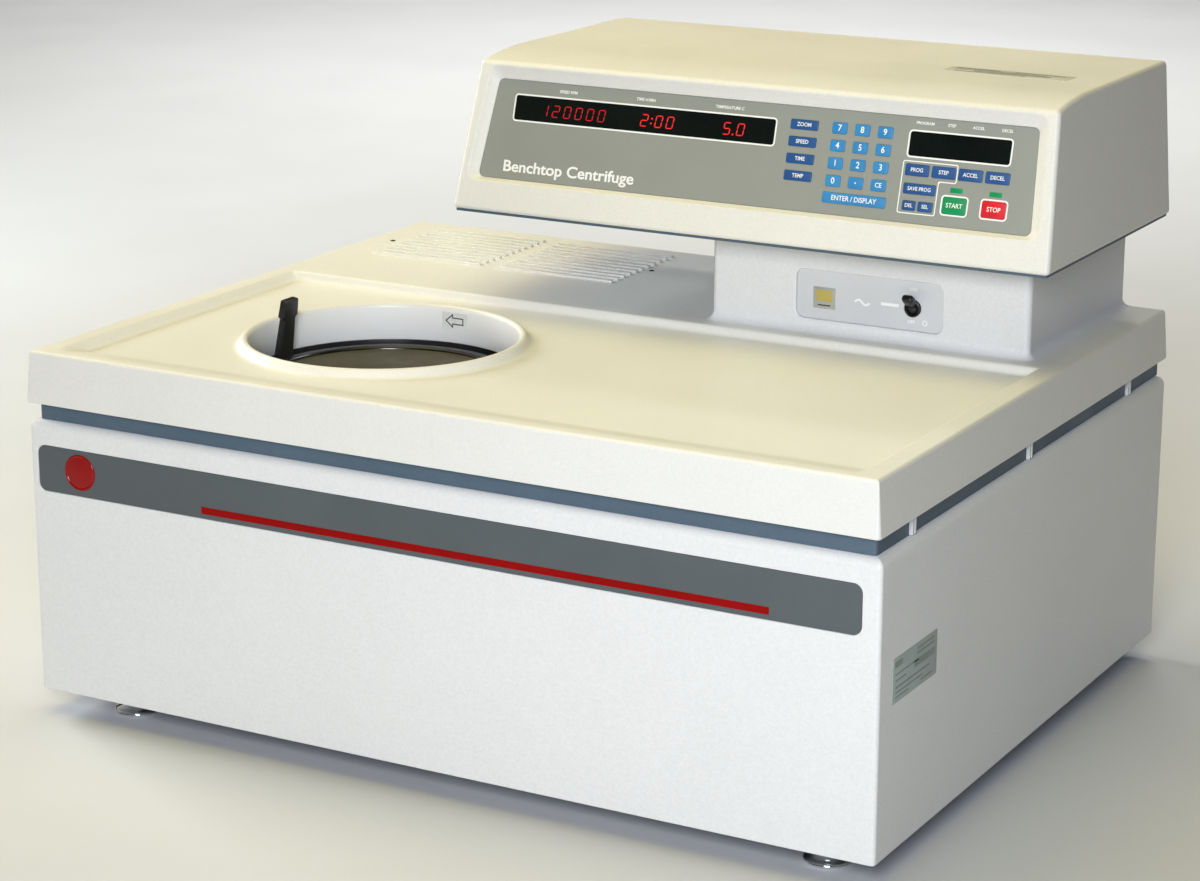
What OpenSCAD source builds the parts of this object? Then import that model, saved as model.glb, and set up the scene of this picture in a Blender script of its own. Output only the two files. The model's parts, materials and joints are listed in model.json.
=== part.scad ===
// Bench-top ultracentrifuge: cabinet, sliding-door chamber, rotor drive and control console.
// Millimetres. Origin at the plan centre of the cabinet, on the surface the feet stand on.
// +X is the right-hand side, -Y the front, +Z up.

/* [Cabinet] */
// Width of the lower cabinet
cab_w = 720; // [700:1:740]
// Depth of the lower cabinet
cab_d = 560; // [550:1:562]
// Height of the cabinet's lower edge above the bench
cab_z = 20; // [18:1:26]
// Height of the cabinet's top edge above the bench
cab_top = 240.8; // [238:0.1:242]
// Wall thickness of the moulded cabinet
wall = 4; // [3:0.5:5]
// Radius of the cabinet's upright edges
cab_r = 3; // [3:1:10]
// Width of the front nameplate
plate_w = 698; // [640:1:700]
// Height of the front nameplate
plate_h = 36.6; // [30:0.2:42]
// Height of the nameplate's centre above the bench
plate_z = 203; // [180:1:212]

/* [Top cover] */
// Height of the cover's lower edge
cover_z = 254.6; // [252:0.1:256]
// Height of the cover's rim and rear deck
cover_top = 295.4; // [294:0.1:297]
// Width across the cover's lower edge
cover_w = 718.4; // [710:0.2:720]
// Depth across the cover's lower edge
cover_d = 566.8; // [564:0.2:567]
// How far each side leans in from bottom to top
cover_draft = 3; // [1:0.2:4]
// Depth of the work surface below the rim
tray_depth = 7; // [5:0.5:9]
// Half of the work surface's width
tray_half = 336; // [325:1:342]
// Front-to-back position of the step up to the rear deck
tray_back = 50; // [40:1:60]
// Number of louvre slots in each vent
vent_slots = 11; // [6:1:12]

/* [Chamber] */
// Left-to-right position of the drive axis
axis_x = -148; // [-150:1:-140]
// Front-to-back position of the drive axis
axis_y = -102; // [-106:1:-98]
// Radius of the access opening
opening_r = 105.8; // [104:0.2:108]
// Radius of the sliding door
door_r = 104; // [100:0.5:104]
// How far the door slides to the right
door_travel = 188; // [180:1:188]
// Radius of the chamber bowl inside
bowl_r = 80; // [70:1:82]
// Radius of the rotor
rotor_r = 58; // [40:1:62]
// Radius of the drive spindle
spindle_r = 6; // [5:0.5:8]

/* [Console] */
// Left end of the console at its lower edge
con_left = -158; // [-165:1:-150]
// Right end of the console at its lower edge
con_right = 355.4; // [350:0.2:356]
// Front of the console at its lower edge
con_front = 16.3; // [12:0.1:24]
// Back of the console
con_back = 283.4; // [275:0.1:283.4]
// Height of the console's lower edge
con_z = 374; // [373:0.5:376]
// Height of the console's top
con_top = 497; // [490:1:500]
// How far the sloping front leans back, in degrees
face_tilt = 15.7; // [12:0.1:20]
// Length of the sloping front, measured up the slope
face_len = 121.4; // [118:0.1:123]
// Depth of the recess that holds the control panel
recess = 6; // [4:0.5:8]
// Thickness of the control panel
panel_t = 3; // [2.8:0.1:4]
// How far each key moves when pressed
key_travel = 0.5; // [0.3:0.1:0.6]

/* [Feet] */
// Half of the distance between the left and right feet
foot_x = 302; // [295:1:310]
// Distance of each foot from the centre, front to back
foot_y = 240; // [235:1:250]
// Radius of a foot's disc
foot_r = 18; // [15:0.5:20]

/* [Hidden] */
$fn = 96;
eps = 0.5;
fit = 0.3;
run_fit = 0.05;

plate_x = -3;
plate_r = 6;
badge_x = -312;
badge_r = 14;
// the dark band between cabinet and cover: half its width, its front and back, and its opening
band_x = 353;
band_front = 274.5;
band_back = 280;
band_hole_x = 308;
band_hole_y = 228;
clip_t = 2.8;
clip_w = 6;
CLIP_Y = [-218, -5, 205];
tray_z = cover_top - tray_depth;
deck_t = 4;
rim_w = 16;
tray_ramp = 26;
// Each vent is [left, right, front, back].
VENTS = [[-320, -210, 143, 262], [-195, -81, 143, 262]];
// Each louvre is a raised rib with a slot behind it.
rib_w = 5;
rib_h = 1.8;
slot_w = 3;
collar_z = 265;
collar_t = 4;
lip_w = 6;
ledge_t = 4;

base_t = 4;
// the feet sit a little to the right of centre
foot_cx = 5;
foot_stem_r = 5;
deck_plate_z = 243;
deck_plate_t = 8;
door_z = deck_plate_z + deck_plate_t + 1;
door_t = 11;
door_rim = 14;
door_dish = 3;
rail_w = 7;
deck_plate_w = 12;
// upright blade of a handle, leaning in towards the middle of the door
handle_x = axis_x - door_r + 7;
handle_t = 6;
handle_w = 19.4;
handle_neck_w = 14;
handle_grip_w = 19.8;
handle_tip_w = 17;
handle_notch = 298;
handle_top = 314;
handle_lean = 9;
bowl_bottom = 132;
motor_r = 46;
motor_z = base_t + cab_z;
motor_top = 122;
rotor_z = 160;
rotor_h = 52;
rotor_tubes = 10;
tube_r = 5.5;
tube_tilt = 25;
fin_count = 8;
fin_pitch = 7;

ped_left = 51.5;
ped_right = 321.5;
ped_front = 70;
ped_back = 279;
con_base_z = con_z - 2;
base_in = 2.5;
switch_cx = 188;
switch_cz = 325.7;
switch_w = 124.8;
switch_h = 39.6;
toggle_x = 225;
toggle_z = 324;
toggle_hole_r = 7;
toggle_pin_r = 1.4;
toggle_pin_len = 13;
ball_r = 6.2;
lever_tilt = 38;

panel_lo = 28.4;
panel_hi = 108.4;
panel_l_lo = -141;
panel_l_hi = -132.5;
panel_r_lo = 334.8;
panel_r_hi = 330.6;
con_draft = 9;
con_wall = 3.5;
// run of the slope between the console's face and its flat top
con_knee = 50;

fan_x = 205;
fan_z = 122;
fan_y = 240;
fan_size = 120;
fan_depth = 36;
fan_r = 55;
fan_hub_r = 20;
fan_blades = 7;
blade_pitch = 38;
louvre_pitch = 8;
louvre_h = 3.6;
inlet_x = -230;
inlet_z = 80;
back_w = 600;
back_h = 170;
back_cz = 130;
back_y = cab_d / 2 - wall;

KEY_NAMES = ["key_zoom", "key_speed", "key_time", "key_temp",
    "key_7", "key_8", "key_9", "key_4", "key_5", "key_6",
    "key_1", "key_2", "key_3", "key_0", "key_point", "key_clear", "key_enter",
    "key_program", "key_step", "key_accel", "key_decel",
    "key_save", "key_delete", "key_select", "key_start", "key_stop"];

fkey_u = 141;
num_u = 170.8;
num_du = 18.9;
key_v = 94.4;
key_dv = 13.45;
row_u = 238.4;
row_du = 21.6;

// Each key is [across, up the slope, width, height], from the panel's lower left origin.
function fkey(i) = [fkey_u, key_v - i * 13.1, 23.4, 7.6];
function numkey(i) = [num_u + (i % 3) * num_du, key_v - floor(i / 3) * key_dv, 12.4, 8.6];
function rowkey(i) = [row_u + i * row_du, 68.5, 19.4, 8.8];
KEYS = concat(
    [for (i = [0:3]) fkey(i)],
    [for (i = [0:11]) numkey(i)],
    [[190, 41.3, 52.6, 8.2]],
    [for (i = [0:3]) rowkey(i)],
    [[242.2, 54.4, 26.2, 8], [235.4, 41.6, 10.8, 7.4], [248.6, 41.6, 12, 7.4],
     [271.8, 44.6, 19.2, 12.8], [303.4, 44.8, 19.4, 12.6]]);

LEFT_WINDOW = [0.8, 86.5, 232.2, 20.2];
RIGHT_WINDOW = [270, 88.2, 82, 18.9];

digit_w = 5.2;
digit_h = 9.4;
digit_pitch = 9.7;
seg = 1.1;

// Which bars of a seven-bar numeral are lit, in the order top, upper left, upper right,
// middle, lower left, lower right, bottom. The readings use only 0, 1, 2 and 5.
function lit(n) =
    n == 0 ? [1, 1, 1, 0, 1, 1, 1] :
    n == 1 ? [0, 0, 1, 0, 0, 1, 0] :
    n == 2 ? [1, 0, 1, 1, 1, 0, 1] :
    [1, 1, 0, 1, 0, 1, 1];

// ---- helpers ----

module rrect(w, h, r) {
    square([w - 2 * r, h], center = true);
    square([w, h - 2 * r], center = true);
    for (x = [-1, 1], y = [-1, 1])
        translate([x * (w / 2 - r), y * (h / 2 - r)])
            circle(r);
}

module rbox(w, d, r, z0, z1) {
    translate([0, 0, z0])
        linear_extrude(z1 - z0)
            rrect(w, d, r);
}

// A YZ outline swept along X.
module sweep_x(x0, x1, pts) {
    translate([x0, 0, 0])
        rotate([90, 0, 90])
            linear_extrude(x1 - x0)
                polygon(pts);
}

// An XZ outline swept along Y.
module sweep_y(y0, y1, pts) {
    translate([0, y1, 0])
        rotate([90, 0, 0])
            linear_extrude(y1 - y0)
                polygon(pts);
}

module on_axis(z) {
    translate([axis_x, axis_y, z])
        children();
}

// Places children on the console's sloping front: x across, y up the slope, z outward.
module on_face(u, v, h) {
    translate([0, con_front, con_z])
        rotate([90 - face_tilt, 0, 0])
            translate([u, v, h])
                children();
}

// Places children on an upright plane that faces the front: x across, y up, z outward.
module on_front(x, y, z) {
    translate([x, y, z])
        rotate([90, 0, 0])
            children();
}

// ---- cabinet ----

module base_plate() {
    color("silver")
        difference() {
            rbox(cab_w - 2 * wall, cab_d - 2 * wall, cab_r - 2, cab_z, cab_z + base_t);
            for (x = [-1, 1], y = [-1, 1])
                translate([foot_cx + x * foot_x, y * foot_y, cab_z - eps])
                    cylinder(h = base_t + 2 * eps, r = foot_stem_r + run_fit);
        }
}

module lower_cabinet() {
    color("whitesmoke")
        difference() {
            rbox(cab_w, cab_d, cab_r, cab_z, cab_top);
            rbox(cab_w - 2 * wall, cab_d - 2 * wall, cab_r - 2, cab_z - eps, cab_top - ledge_t);
            rbox(2 * band_hole_x, 2 * band_hole_y, 4, cab_top - 2 * ledge_t, cab_top + eps);
            // pocket for the nameplate
            on_front(plate_x, -cab_d / 2 + 1, plate_z)
                linear_extrude(2)
                    rrect(plate_w + 0.4, plate_h + 0.4, plate_r);
            // opening for the rear panel
            translate([0, back_y - eps, back_cz])
                rotate([-90, 0, 0])
                    linear_extrude(wall + 2 * eps)
                        rrect(back_w, back_h, 8);
        }
}

module rear_panel() {
    color("gainsboro")
        difference() {
            translate([0, back_y, back_cz])
                rotate([-90, 0, 0])
                    linear_extrude(2)
                        rrect(back_w, back_h, 8);
            // exhaust louvres in front of the fan
            for (i = [-6:6])
                translate([fan_x, back_y + 1, fan_z + i * louvre_pitch])
                    cube([100, 4, louvre_h], center = true);
            // intake louvres
            for (i = [-4:4])
                translate([-20, back_y + 1, fan_z + i * louvre_pitch])
                    cube([150, 4, louvre_h], center = true);
            translate([inlet_x, back_y + 1, inlet_z])
                cube([30, 4, 22], center = true);
        }
}

module support_band() {
    color("slategray")
        difference() {
            translate([0, (band_back - band_front) / 2, 0])
                rbox(2 * band_x, band_back + band_front, 3, cab_top, cover_z);
            rbox(2 * band_hole_x, 2 * band_hole_y, 4, cab_top - eps, cover_z + eps);
        }
}

module band_clips() {
    color("lightgray")
        for (s = [-1, 1], y = CLIP_Y)
            translate([s * (band_x + clip_t / 2), y, (cab_top + cover_z) / 2])
                difference() {
                    cube([clip_t, clip_w, cover_z - cab_top - 0.6], center = true);
                    translate([s * clip_t / 2, 0, 0])
                        cube([clip_t, 2.4, 20], center = true);
                }
}

module nameplate() {
    color("dimgray")
        on_front(plate_x, -cab_d / 2 + 1, plate_z)
            difference() {
                linear_extrude(1)
                    rrect(plate_w, plate_h, plate_r);
                translate([badge_x - plate_x, 0.8, -eps])
                    cylinder(h = 2, r = badge_r + 0.2);
            }
}

module badge() {
    color("crimson")
        on_front(badge_x, -cab_d / 2 + 1, plate_z + 0.8)
            cylinder(h = 2, r = badge_r);
}

// ---- top cover ----

module cover_block(inset, z0, z1) {
    hw = cover_w / 2 - inset;
    hd = cover_d / 2 - inset;
    intersection() {
        sweep_y(-hd, hd, [[-hw, z0], [hw, z0], [hw - cover_draft, z1], [-hw + cover_draft, z1]]);
        sweep_x(-hw, hw, [[-hd, z0], [hd, z0], [hd - cover_draft, z1], [-hd + cover_draft, z1]]);
    }
}

module vent_row(box, start, width, z0, height) {
    pitch = (box[3] - box[2]) / vent_slots;
    for (i = [0:vent_slots - 1])
        translate([box[0], box[2] + i * pitch + start, z0])
            cube([box[1] - box[0], width, height]);
}

module top_cover() {
    tray_front = -cover_d / 2 + rim_w;
    color("cornsilk")
        difference() {
            cover_block(0, cover_z, cover_top);
            // hollow underside, deeper below the rear deck
            cover_block(wall, cover_z - eps, tray_z - deck_t);
            translate([-cover_w / 2 + 10, tray_back + deck_t, cover_z])
                cube([cover_w - 20, cover_d / 2 - tray_back - deck_t - 10, cover_top - deck_t - cover_z]);
            // work surface, ramped up to the front rim
            sweep_x(-tray_half, tray_half,
                [[tray_front, cover_top + eps], [tray_front, cover_top],
                 [tray_front + tray_ramp, tray_z], [tray_back, tray_z], [tray_back, cover_top + eps]]);
            on_axis(cover_z)
                cylinder(h = 60, r = opening_r + collar_t);
            for (box = VENTS)
                vent_row(box, rib_w, slot_w, cover_top - 20, 30);
        }
    color("cornsilk")
        for (box = VENTS)
            vent_row(box, 0, rib_w, cover_top - 1, 1 + rib_h);
}

module opening_collar() {
    color("white")
        on_axis(0)
            rotate_extrude()
                polygon([[opening_r, collar_z], [opening_r + collar_t, collar_z],
                    [opening_r + collar_t, tray_z], [opening_r + collar_t + lip_w, tray_z],
                    [opening_r + collar_t + lip_w / 2, cover_top - 2], [opening_r + 3, cover_top],
                    [opening_r, cover_top - 2]]);
}

// ---- sliding door ----

module chamber_door() {
    color("darkkhaki")
        on_axis(door_z)
            difference() {
                cylinder(h = door_t, r = door_r);
                // shallow dish inside the rim
                translate([0, 0, door_t - door_dish])
                    cylinder(h = door_dish + 1, r = door_r - door_rim);
                // seat for the handle's foot
                translate([handle_x - axis_x, 0, door_t - 5])
                    cylinder(h = 6, r = 4);
            }
}

module door_handle() {
    z0 = door_z + door_t;
    color("black") {
        translate([handle_x, axis_y, z0 - 5])
            cylinder(h = 5.5, r = 4);
        difference() {
            translate([handle_x, axis_y, z0])
                rotate([0, handle_lean, 0])
                    translate([-handle_t / 2, 0, 0])
                        handle_blade(handle_notch - z0, handle_top - z0);
            translate([handle_x - 20, axis_y - 20, z0 - 20])
                cube([40, 40, 20]);
        }
    }
}

// Flat blade standing on z = 0, with a wider grip above two notches.
module handle_blade(notch, top) {
    stem = handle_w / 2;
    neck = handle_neck_w / 2;
    grip = handle_grip_w / 2;
    tip = handle_tip_w / 2;
    sweep_x(0, handle_t,
        [[-stem, -5], [stem, -5], [neck, notch], [grip, notch + 2], [tip, top - 1.5],
         [tip - 1.5, top], [-tip + 1.5, top], [-tip, top - 1.5], [-grip, notch + 2], [-neck, notch]]);
}

module door_rails() {
    x0 = axis_x - door_r - rail_w;
    x1 = axis_x + door_travel + door_r + rail_w;
    z0 = deck_plate_z + deck_plate_t;
    color("black")
        difference() {
            translate([x0, axis_y - door_r - rail_w, z0])
                cube([x1 - x0, 2 * (door_r + rail_w), collar_z - z0]);
            // the track the door runs in
            translate([axis_x, axis_y - door_r - 1, z0 - eps])
                cube([door_travel, 2 * door_r + 2, 30]);
            for (x = [0, door_travel])
                translate([axis_x + x, axis_y, z0 - eps])
                    cylinder(h = 30, r = door_r + 1);
        }
}

// ---- chamber and drive ----

module chamber_plate() {
    x0 = axis_x - door_r - deck_plate_w;
    x1 = axis_x + door_travel + door_r + deck_plate_w;
    color("darkgray")
        difference() {
            translate([x0, axis_y - door_r - deck_plate_w, deck_plate_z])
                cube([x1 - x0, 2 * (door_r + deck_plate_w), deck_plate_t]);
            on_axis(deck_plate_z - eps)
                cylinder(h = deck_plate_t + 2 * eps, r = bowl_r);
        }
}

module chamber_bowl() {
    color("dimgray")
        on_axis(0)
            difference() {
                union() {
                    translate([0, 0, bowl_bottom])
                        cylinder(h = deck_plate_z - bowl_bottom, r = bowl_r + 3);
                    translate([0, 0, deck_plate_z - 4])
                        cylinder(h = 4, r = bowl_r + 10);
                }
                translate([0, 0, bowl_bottom + 4])
                    cylinder(h = 200, r = bowl_r);
                translate([0, 0, bowl_bottom - eps])
                    cylinder(h = 10, r = spindle_r + 8);
            }
}

module armour_ring() {
    color("gray")
        on_axis(cab_z + base_t)
            difference() {
                cylinder(h = deck_plate_z - cab_z - base_t, r = bowl_r + 24);
                translate([0, 0, -eps])
                    cylinder(h = 300, r = bowl_r + 12);
            }
}

module drive_motor() {
    color("darkslategray")
        on_axis(0)
            difference() {
                union() {
                    translate([0, 0, motor_z])
                        cylinder(h = 8, r = motor_r + 22);
                    translate([0, 0, motor_z])
                        cylinder(h = motor_top - motor_z - 14, r = motor_r);
                    translate([0, 0, motor_top - 15])
                        cylinder(h = 15, r = 22);
                    // cooling fins round the body
                    for (i = [0:fin_count - 1])
                        translate([0, 0, motor_z + 18 + i * fin_pitch])
                            cylinder(h = 3, r = motor_r + 5);
                }
                translate([0, 0, 60])
                    cylinder(h = 80, r = spindle_r + run_fit);
            }
}

module drive_spindle() {
    color("silver")
        on_axis(0) {
            translate([0, 0, 60.5])
                cylinder(h = rotor_z + 20 - 60.5, r = spindle_r);
            translate([0, 0, rotor_z - 8])
                cylinder(h = 8, r = spindle_r + 6);
        }
}

module rotor() {
    color("dimgray")
        on_axis(rotor_z)
            difference() {
                rotate_extrude()
                    polygon([[0, 0], [rotor_r - 20, 0], [rotor_r, 16], [rotor_r, 34], [rotor_r - 14, rotor_h],
                        [0, rotor_h]]);
                translate([0, 0, -eps])
                    cylinder(h = 20 + eps, r = spindle_r);
                // dished top with a ring of tube pockets
                translate([0, 0, rotor_h - 6])
                    cylinder(h = 10, r = rotor_r - 20);
                for (i = [0:rotor_tubes - 1])
                    rotate([0, 0, i * 360 / rotor_tubes])
                        translate([26, 0, 16])
                            rotate([0, tube_tilt, 0])
                                cylinder(h = 60, r = tube_r);
            }
}

module rotor_lid() {
    color("silver")
        on_axis(rotor_z + rotor_h)
            union() {
                cylinder(h = 6, r = rotor_r - 12);
                translate([0, 0, 5])
                    cylinder(h = 8, r = 16);
                difference() {
                    translate([0, 0, 12])
                        cylinder(h = 12, r = 11);
                    for (i = [0:11])
                        rotate([0, 0, i * 30])
                            translate([12, 0, 14])
                                cylinder(h = 12, r = 1.8);
                }
            }
}

// ---- fan and power inlet ----

module fan_housing() {
    color("dimgray")
        translate([fan_x, fan_y, fan_z])
            rotate([-90, 0, 0])
                difference() {
                    union() {
                        difference() {
                            linear_extrude(fan_depth)
                                rrect(fan_size, fan_size, 6);
                            translate([0, 0, -eps])
                                cylinder(h = fan_depth + 2 * eps, r = fan_r + 2);
                        }
                        // hub and four struts
                        cylinder(h = 6, r = fan_hub_r + 1);
                        for (a = [45:90:315])
                            rotate([0, 0, a])
                                translate([0, -2.5, 0])
                                    cube([fan_r + 4, 5, 4]);
                    }
                    translate([0, 0, -eps])
                        cylinder(h = 10, r = 3 + run_fit);
                }
}

module fan_impeller() {
    color("black")
        translate([fan_x, fan_y, fan_z])
            rotate([-90, 0, 0]) {
                cylinder(h = 9, r = 3);
                translate([0, 0, 8])
                    cylinder(h = 24, r = fan_hub_r);
                for (i = [0:fan_blades - 1])
                    rotate([0, 0, i * 360 / fan_blades])
                        translate([fan_hub_r - 2, 0, 20])
                            rotate([blade_pitch, 0, 0])
                                translate([0, -1, -11])
                                    cube([fan_r - fan_hub_r + 1.5, 2, 22]);
            }
}

module power_inlet() {
    color("black")
        translate([inlet_x, back_y + 2, inlet_z])
            difference() {
                union() {
                    translate([0, -14, 0])
                        cube([29, 24, 21], center = true);
                    translate([0, -3, 0])
                        cube([50, 2, 26], center = true);
                }
                difference() {
                    translate([0, -9, 0])
                        cube([25, 19, 17], center = true);
                    // three pins, set back inside the socket
                    for (x = [-7, 0, 7])
                        translate([x, -15.5, x == 0 ? 3 : -2])
                            cube([2, 8, 5], center = true);
                }
            }
}

module levelling_foot(x, y) {
    color("silver")
        translate([x, y, 0])
            rotate_extrude()
                polygon([[0, 0], [foot_r, 0], [foot_r, 2.5], [foot_r - 3, 4], [12, 6], [9, 10],
                    [foot_stem_r, 11], [foot_stem_r, 40], [0, 40]]);
}

// ---- pedestal and mains switch ----

module pedestal() {
    w = ped_right - ped_left;
    d = ped_back - ped_front;
    color("whitesmoke")
        difference() {
            translate([ped_left, ped_front, cover_top])
                cube([w, d, con_base_z - cover_top]);
            translate([ped_left + 4, ped_front + 8, cover_top - eps])
                cube([w - 8, d - 12, con_base_z - cover_top - 4 + eps]);
            on_front(switch_cx, ped_front + 4, switch_cz)
                linear_extrude(5)
                    rrect(switch_w, switch_h, 7);
            on_front(toggle_x, ped_front + 10, toggle_z)
                cylinder(h = 12, r = toggle_hole_r);
        }
}

module switch_panel() {
    color("lightsteelblue")
        difference() {
            on_front(switch_cx, ped_front + 4, switch_cz)
                linear_extrude(2.5)
                    rrect(switch_w - 0.4, switch_h - 0.4, 6.8);
            on_front(toggle_x, ped_front + 6, toggle_z)
                cylinder(h = 8, r = toggle_hole_r);
        }
}

// The lever turns about a pin across the ball; it points up for on.
module power_switch() {
    color("black")
        translate([toggle_x, ped_front + 3, toggle_z]) {
            sphere(r = ball_r);
            rotate([0, 90, 0])
                cylinder(h = toggle_pin_len, r = toggle_pin_r, center = true);
            rotate([-lever_tilt, 0, 0])
                translate([0, -9, 0])
                    cube([9.6, 18, 6], center = true);
        }
}

// ---- console ----

function face_y(v, h) = con_front + v * sin(face_tilt) - h * cos(face_tilt);
function face_z(v, h) = con_z + v * cos(face_tilt) + h * sin(face_tilt);

module console_block(inset, front_inset, z0) {
    hi = con_top - inset;
    sweep_x(con_left - 10, con_right + 10,
        [[face_y(0, 0) + front_inset, z0],
         [face_y(face_len, 0) + front_inset, face_z(face_len, 0) - inset],
         [face_y(face_len, 0) + con_knee, hi],
         [con_back - inset, hi],
         [con_back - inset, z0]]);
}

module console_ends(inset) {
    sweep_y(con_front - 10, con_back + 10,
        [[con_left + inset, con_z - 10], [con_right - inset, con_z - 10],
         [con_right - inset, con_z], [con_right - con_draft - inset, con_top + 1],
         [con_left + con_draft + inset, con_top + 1], [con_left + inset, con_z]]);
}

module console_housing() {
    color("cornsilk")
        difference() {
            intersection() {
                console_block(0, 0, con_z);
                console_ends(0);
            }
            intersection() {
                console_block(con_wall, 16, con_z - 5);
                console_ends(con_wall);
            }
            // recess for the control panel, wider at its mouth
            on_face(0, 0, -recess - panel_t)
                linear_extrude(recess + panel_t + 5)
                    panel_outline(0.2);
        }
}

module console_base() {
    color("black") {
        translate([con_left + base_in, con_front + base_in, con_base_z])
            cube([con_right - con_left - 2 * base_in, con_back - con_front - 2 * base_in, con_z - con_base_z]);
        // upstand that locates it inside the housing
        translate([con_left + 8, con_front + 20, con_base_z + 1])
            cube([con_right - con_left - 16, con_back - con_front - 28, 4]);
    }
}

module panel_outline(grow) {
    polygon([[panel_l_lo - grow, panel_lo - grow], [panel_r_lo + grow, panel_lo - grow],
        [panel_r_hi + grow, panel_hi + grow], [panel_l_hi - grow, panel_hi + grow]]);
}

module window_cut(win, grow) {
    translate([win[0], win[1], -1])
        linear_extrude(panel_t + 3)
            rrect(win[2] + 2 * grow, win[3] + 2 * grow, 2 + grow);
}

module control_panel() {
    color("darkgray")
        on_face(0, 0, -recess - panel_t)
            difference() {
                linear_extrude(panel_t)
                    panel_outline(0);
                window_cut(LEFT_WINDOW, 0);
                window_cut(RIGHT_WINDOW, 0);
                for (k = KEYS)
                    translate([k[0], k[1], panel_t / 2])
                        cube([k[2] + 2 * fit, k[3] + 2 * fit, panel_t + 2], center = true);
            }
}

module display_windows() {
    color("black")
        for (win = [LEFT_WINDOW, RIGHT_WINDOW])
            on_face(win[0], win[1], -recess - panel_t)
                linear_extrude(panel_t - 0.6)
                    rrect(win[2], win[3], 2);
}

module bar(x, y, w, h) {
    translate([x, y, 0])
        cube([w, h, 0.5], center = true);
}

module numeral(n) {
    on = lit(n);
    side = digit_h / 2 - seg;
    for (i = [0:2])
        if (on[3 * i])
            bar(0, digit_h / 2 - i * digit_h / 2, digit_w - seg, seg);
    for (i = [0:1]) {
        if (on[1 + 3 * i])
            bar(-digit_w / 2, digit_h / 4 - i * digit_h / 2, seg, side);
        if (on[2 + 3 * i])
            bar(digit_w / 2, digit_h / 4 - i * digit_h / 2, seg, side);
    }
}

module reading(u, numerals, pitch) {
    for (i = [0:len(numerals) - 1])
        translate([u + i * pitch, 0, 0])
            numeral(numerals[i]);
}

module led_digits() {
    color("red")
        on_face(0, LEFT_WINDOW[1] - 0.6, -recess - 0.35) {
            reading(-84, [1, 2, 0, 0, 0, 0], digit_pitch);
            reading(2.6, [2], digit_pitch);
            reading(16.2, [0, 0], digit_pitch);
            for (v = [-1.8, 1.8])
                bar(9.6, v, 1.4, 1.4);
            reading(75.4, [5, 0], 12);
            bar(81.4, -digit_h / 2, 1.4, 1.4);
        }
}

module key(k, hue) {
    top = 0.5;
    bottom = -panel_t + key_travel + 0.3;
    color(hue)
        on_face(k[0], k[1], -recess + (top + bottom) / 2)
            cube([k[2], k[3], top - bottom], center = true);
}

function key_hue(i) =
    i < 4 ? "darkblue" :
    i < 17 ? "deepskyblue" :
    i < 24 ? "darkblue" :
    i == 24 ? "green" : "red";

base_plate();
lower_cabinet();
rear_panel();
support_band();
band_clips();
top_cover();
opening_collar();
pedestal();
switch_panel();
power_switch();
console_base();
console_housing();
control_panel();
display_windows();
led_digits();
nameplate();
badge();
chamber_door();
door_handle();
door_rails();
chamber_plate();
chamber_bowl();
armour_ring();
drive_motor();
drive_spindle();
rotor();
rotor_lid();
fan_impeller();
fan_housing();
power_inlet();
levelling_foot(foot_cx - foot_x, -foot_y);  // foot_front_left
levelling_foot(foot_cx + foot_x, -foot_y);  // foot_front_right
levelling_foot(foot_cx - foot_x, foot_y);  // foot_back_left
levelling_foot(foot_cx + foot_x, foot_y);  // foot_back_right
for (i = [0:len(KEYS) - 1])
    key(KEYS[i], key_hue(i));
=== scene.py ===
import json
import math

import bmesh
import bpy
from mathutils import Matrix, Vector


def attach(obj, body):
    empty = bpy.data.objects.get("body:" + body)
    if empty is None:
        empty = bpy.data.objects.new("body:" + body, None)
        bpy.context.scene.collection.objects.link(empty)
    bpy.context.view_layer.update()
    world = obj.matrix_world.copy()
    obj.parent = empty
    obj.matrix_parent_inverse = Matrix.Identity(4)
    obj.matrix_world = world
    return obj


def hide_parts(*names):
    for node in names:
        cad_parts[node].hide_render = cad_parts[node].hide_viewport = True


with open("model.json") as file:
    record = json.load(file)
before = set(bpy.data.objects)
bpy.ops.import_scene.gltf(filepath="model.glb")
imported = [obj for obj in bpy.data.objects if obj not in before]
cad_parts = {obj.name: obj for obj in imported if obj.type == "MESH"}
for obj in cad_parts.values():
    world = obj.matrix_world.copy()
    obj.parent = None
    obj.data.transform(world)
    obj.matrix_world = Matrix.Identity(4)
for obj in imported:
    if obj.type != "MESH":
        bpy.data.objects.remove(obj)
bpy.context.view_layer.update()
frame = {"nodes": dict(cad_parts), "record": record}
NODES = frame["nodes"]
MM = 0.001

# ---------------------------------------------------------------- sizes, in millimetres

CAB_W, CAB_D = 719.4, 559.6
CAB_LO, CAB_HI = 20.0, 240.8
COVER_LO, COVER_HI = 254.6, 295.4
TRAY_Z = 288.4
AXIS = (-148.0, -102.0)
OPEN_R = 105.8
TILT = 15.7
FACE_Y, FACE_Z = 16.3, 374.0
FACE_LEN = 121.4
CON_L, CON_R = -158.0, 355.4
CON_BACK, CON_TOP = 283.4, 496.8
RECESS = 6.0
PANEL = [(-141.0, 28.4), (334.8, 28.4), (330.6, 108.4), (-132.5, 108.4)]
LEFT_WINDOW = (0.8, 86.5, 232.2, 20.2)
RIGHT_WINDOW = (270.0, 88.2, 82.0, 18.9)
SWITCH = (188.0, 325.7, 124.8, 39.6)
TOGGLE = (225.0, 73.0, 324.0)
VENTS = ((-320.0, -210.0, 143.0, 262.0), (-195.0, -81.0, 143.0, 262.0))
VENT_SLOTS = 11
FEET_X = (("left", -297.0), ("right", 307.0))
FEET_Y = (("front", -240.0), ("back", 240.0))
HANDLE_X = AXIS[0] - 97.0
HANDLE_LEAN = 9.0
START_KEY, STOP_KEY = (271.8, 44.6), (303.4, 44.8)


# ---------------------------------------------------------------- camera, light and floor

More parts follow.
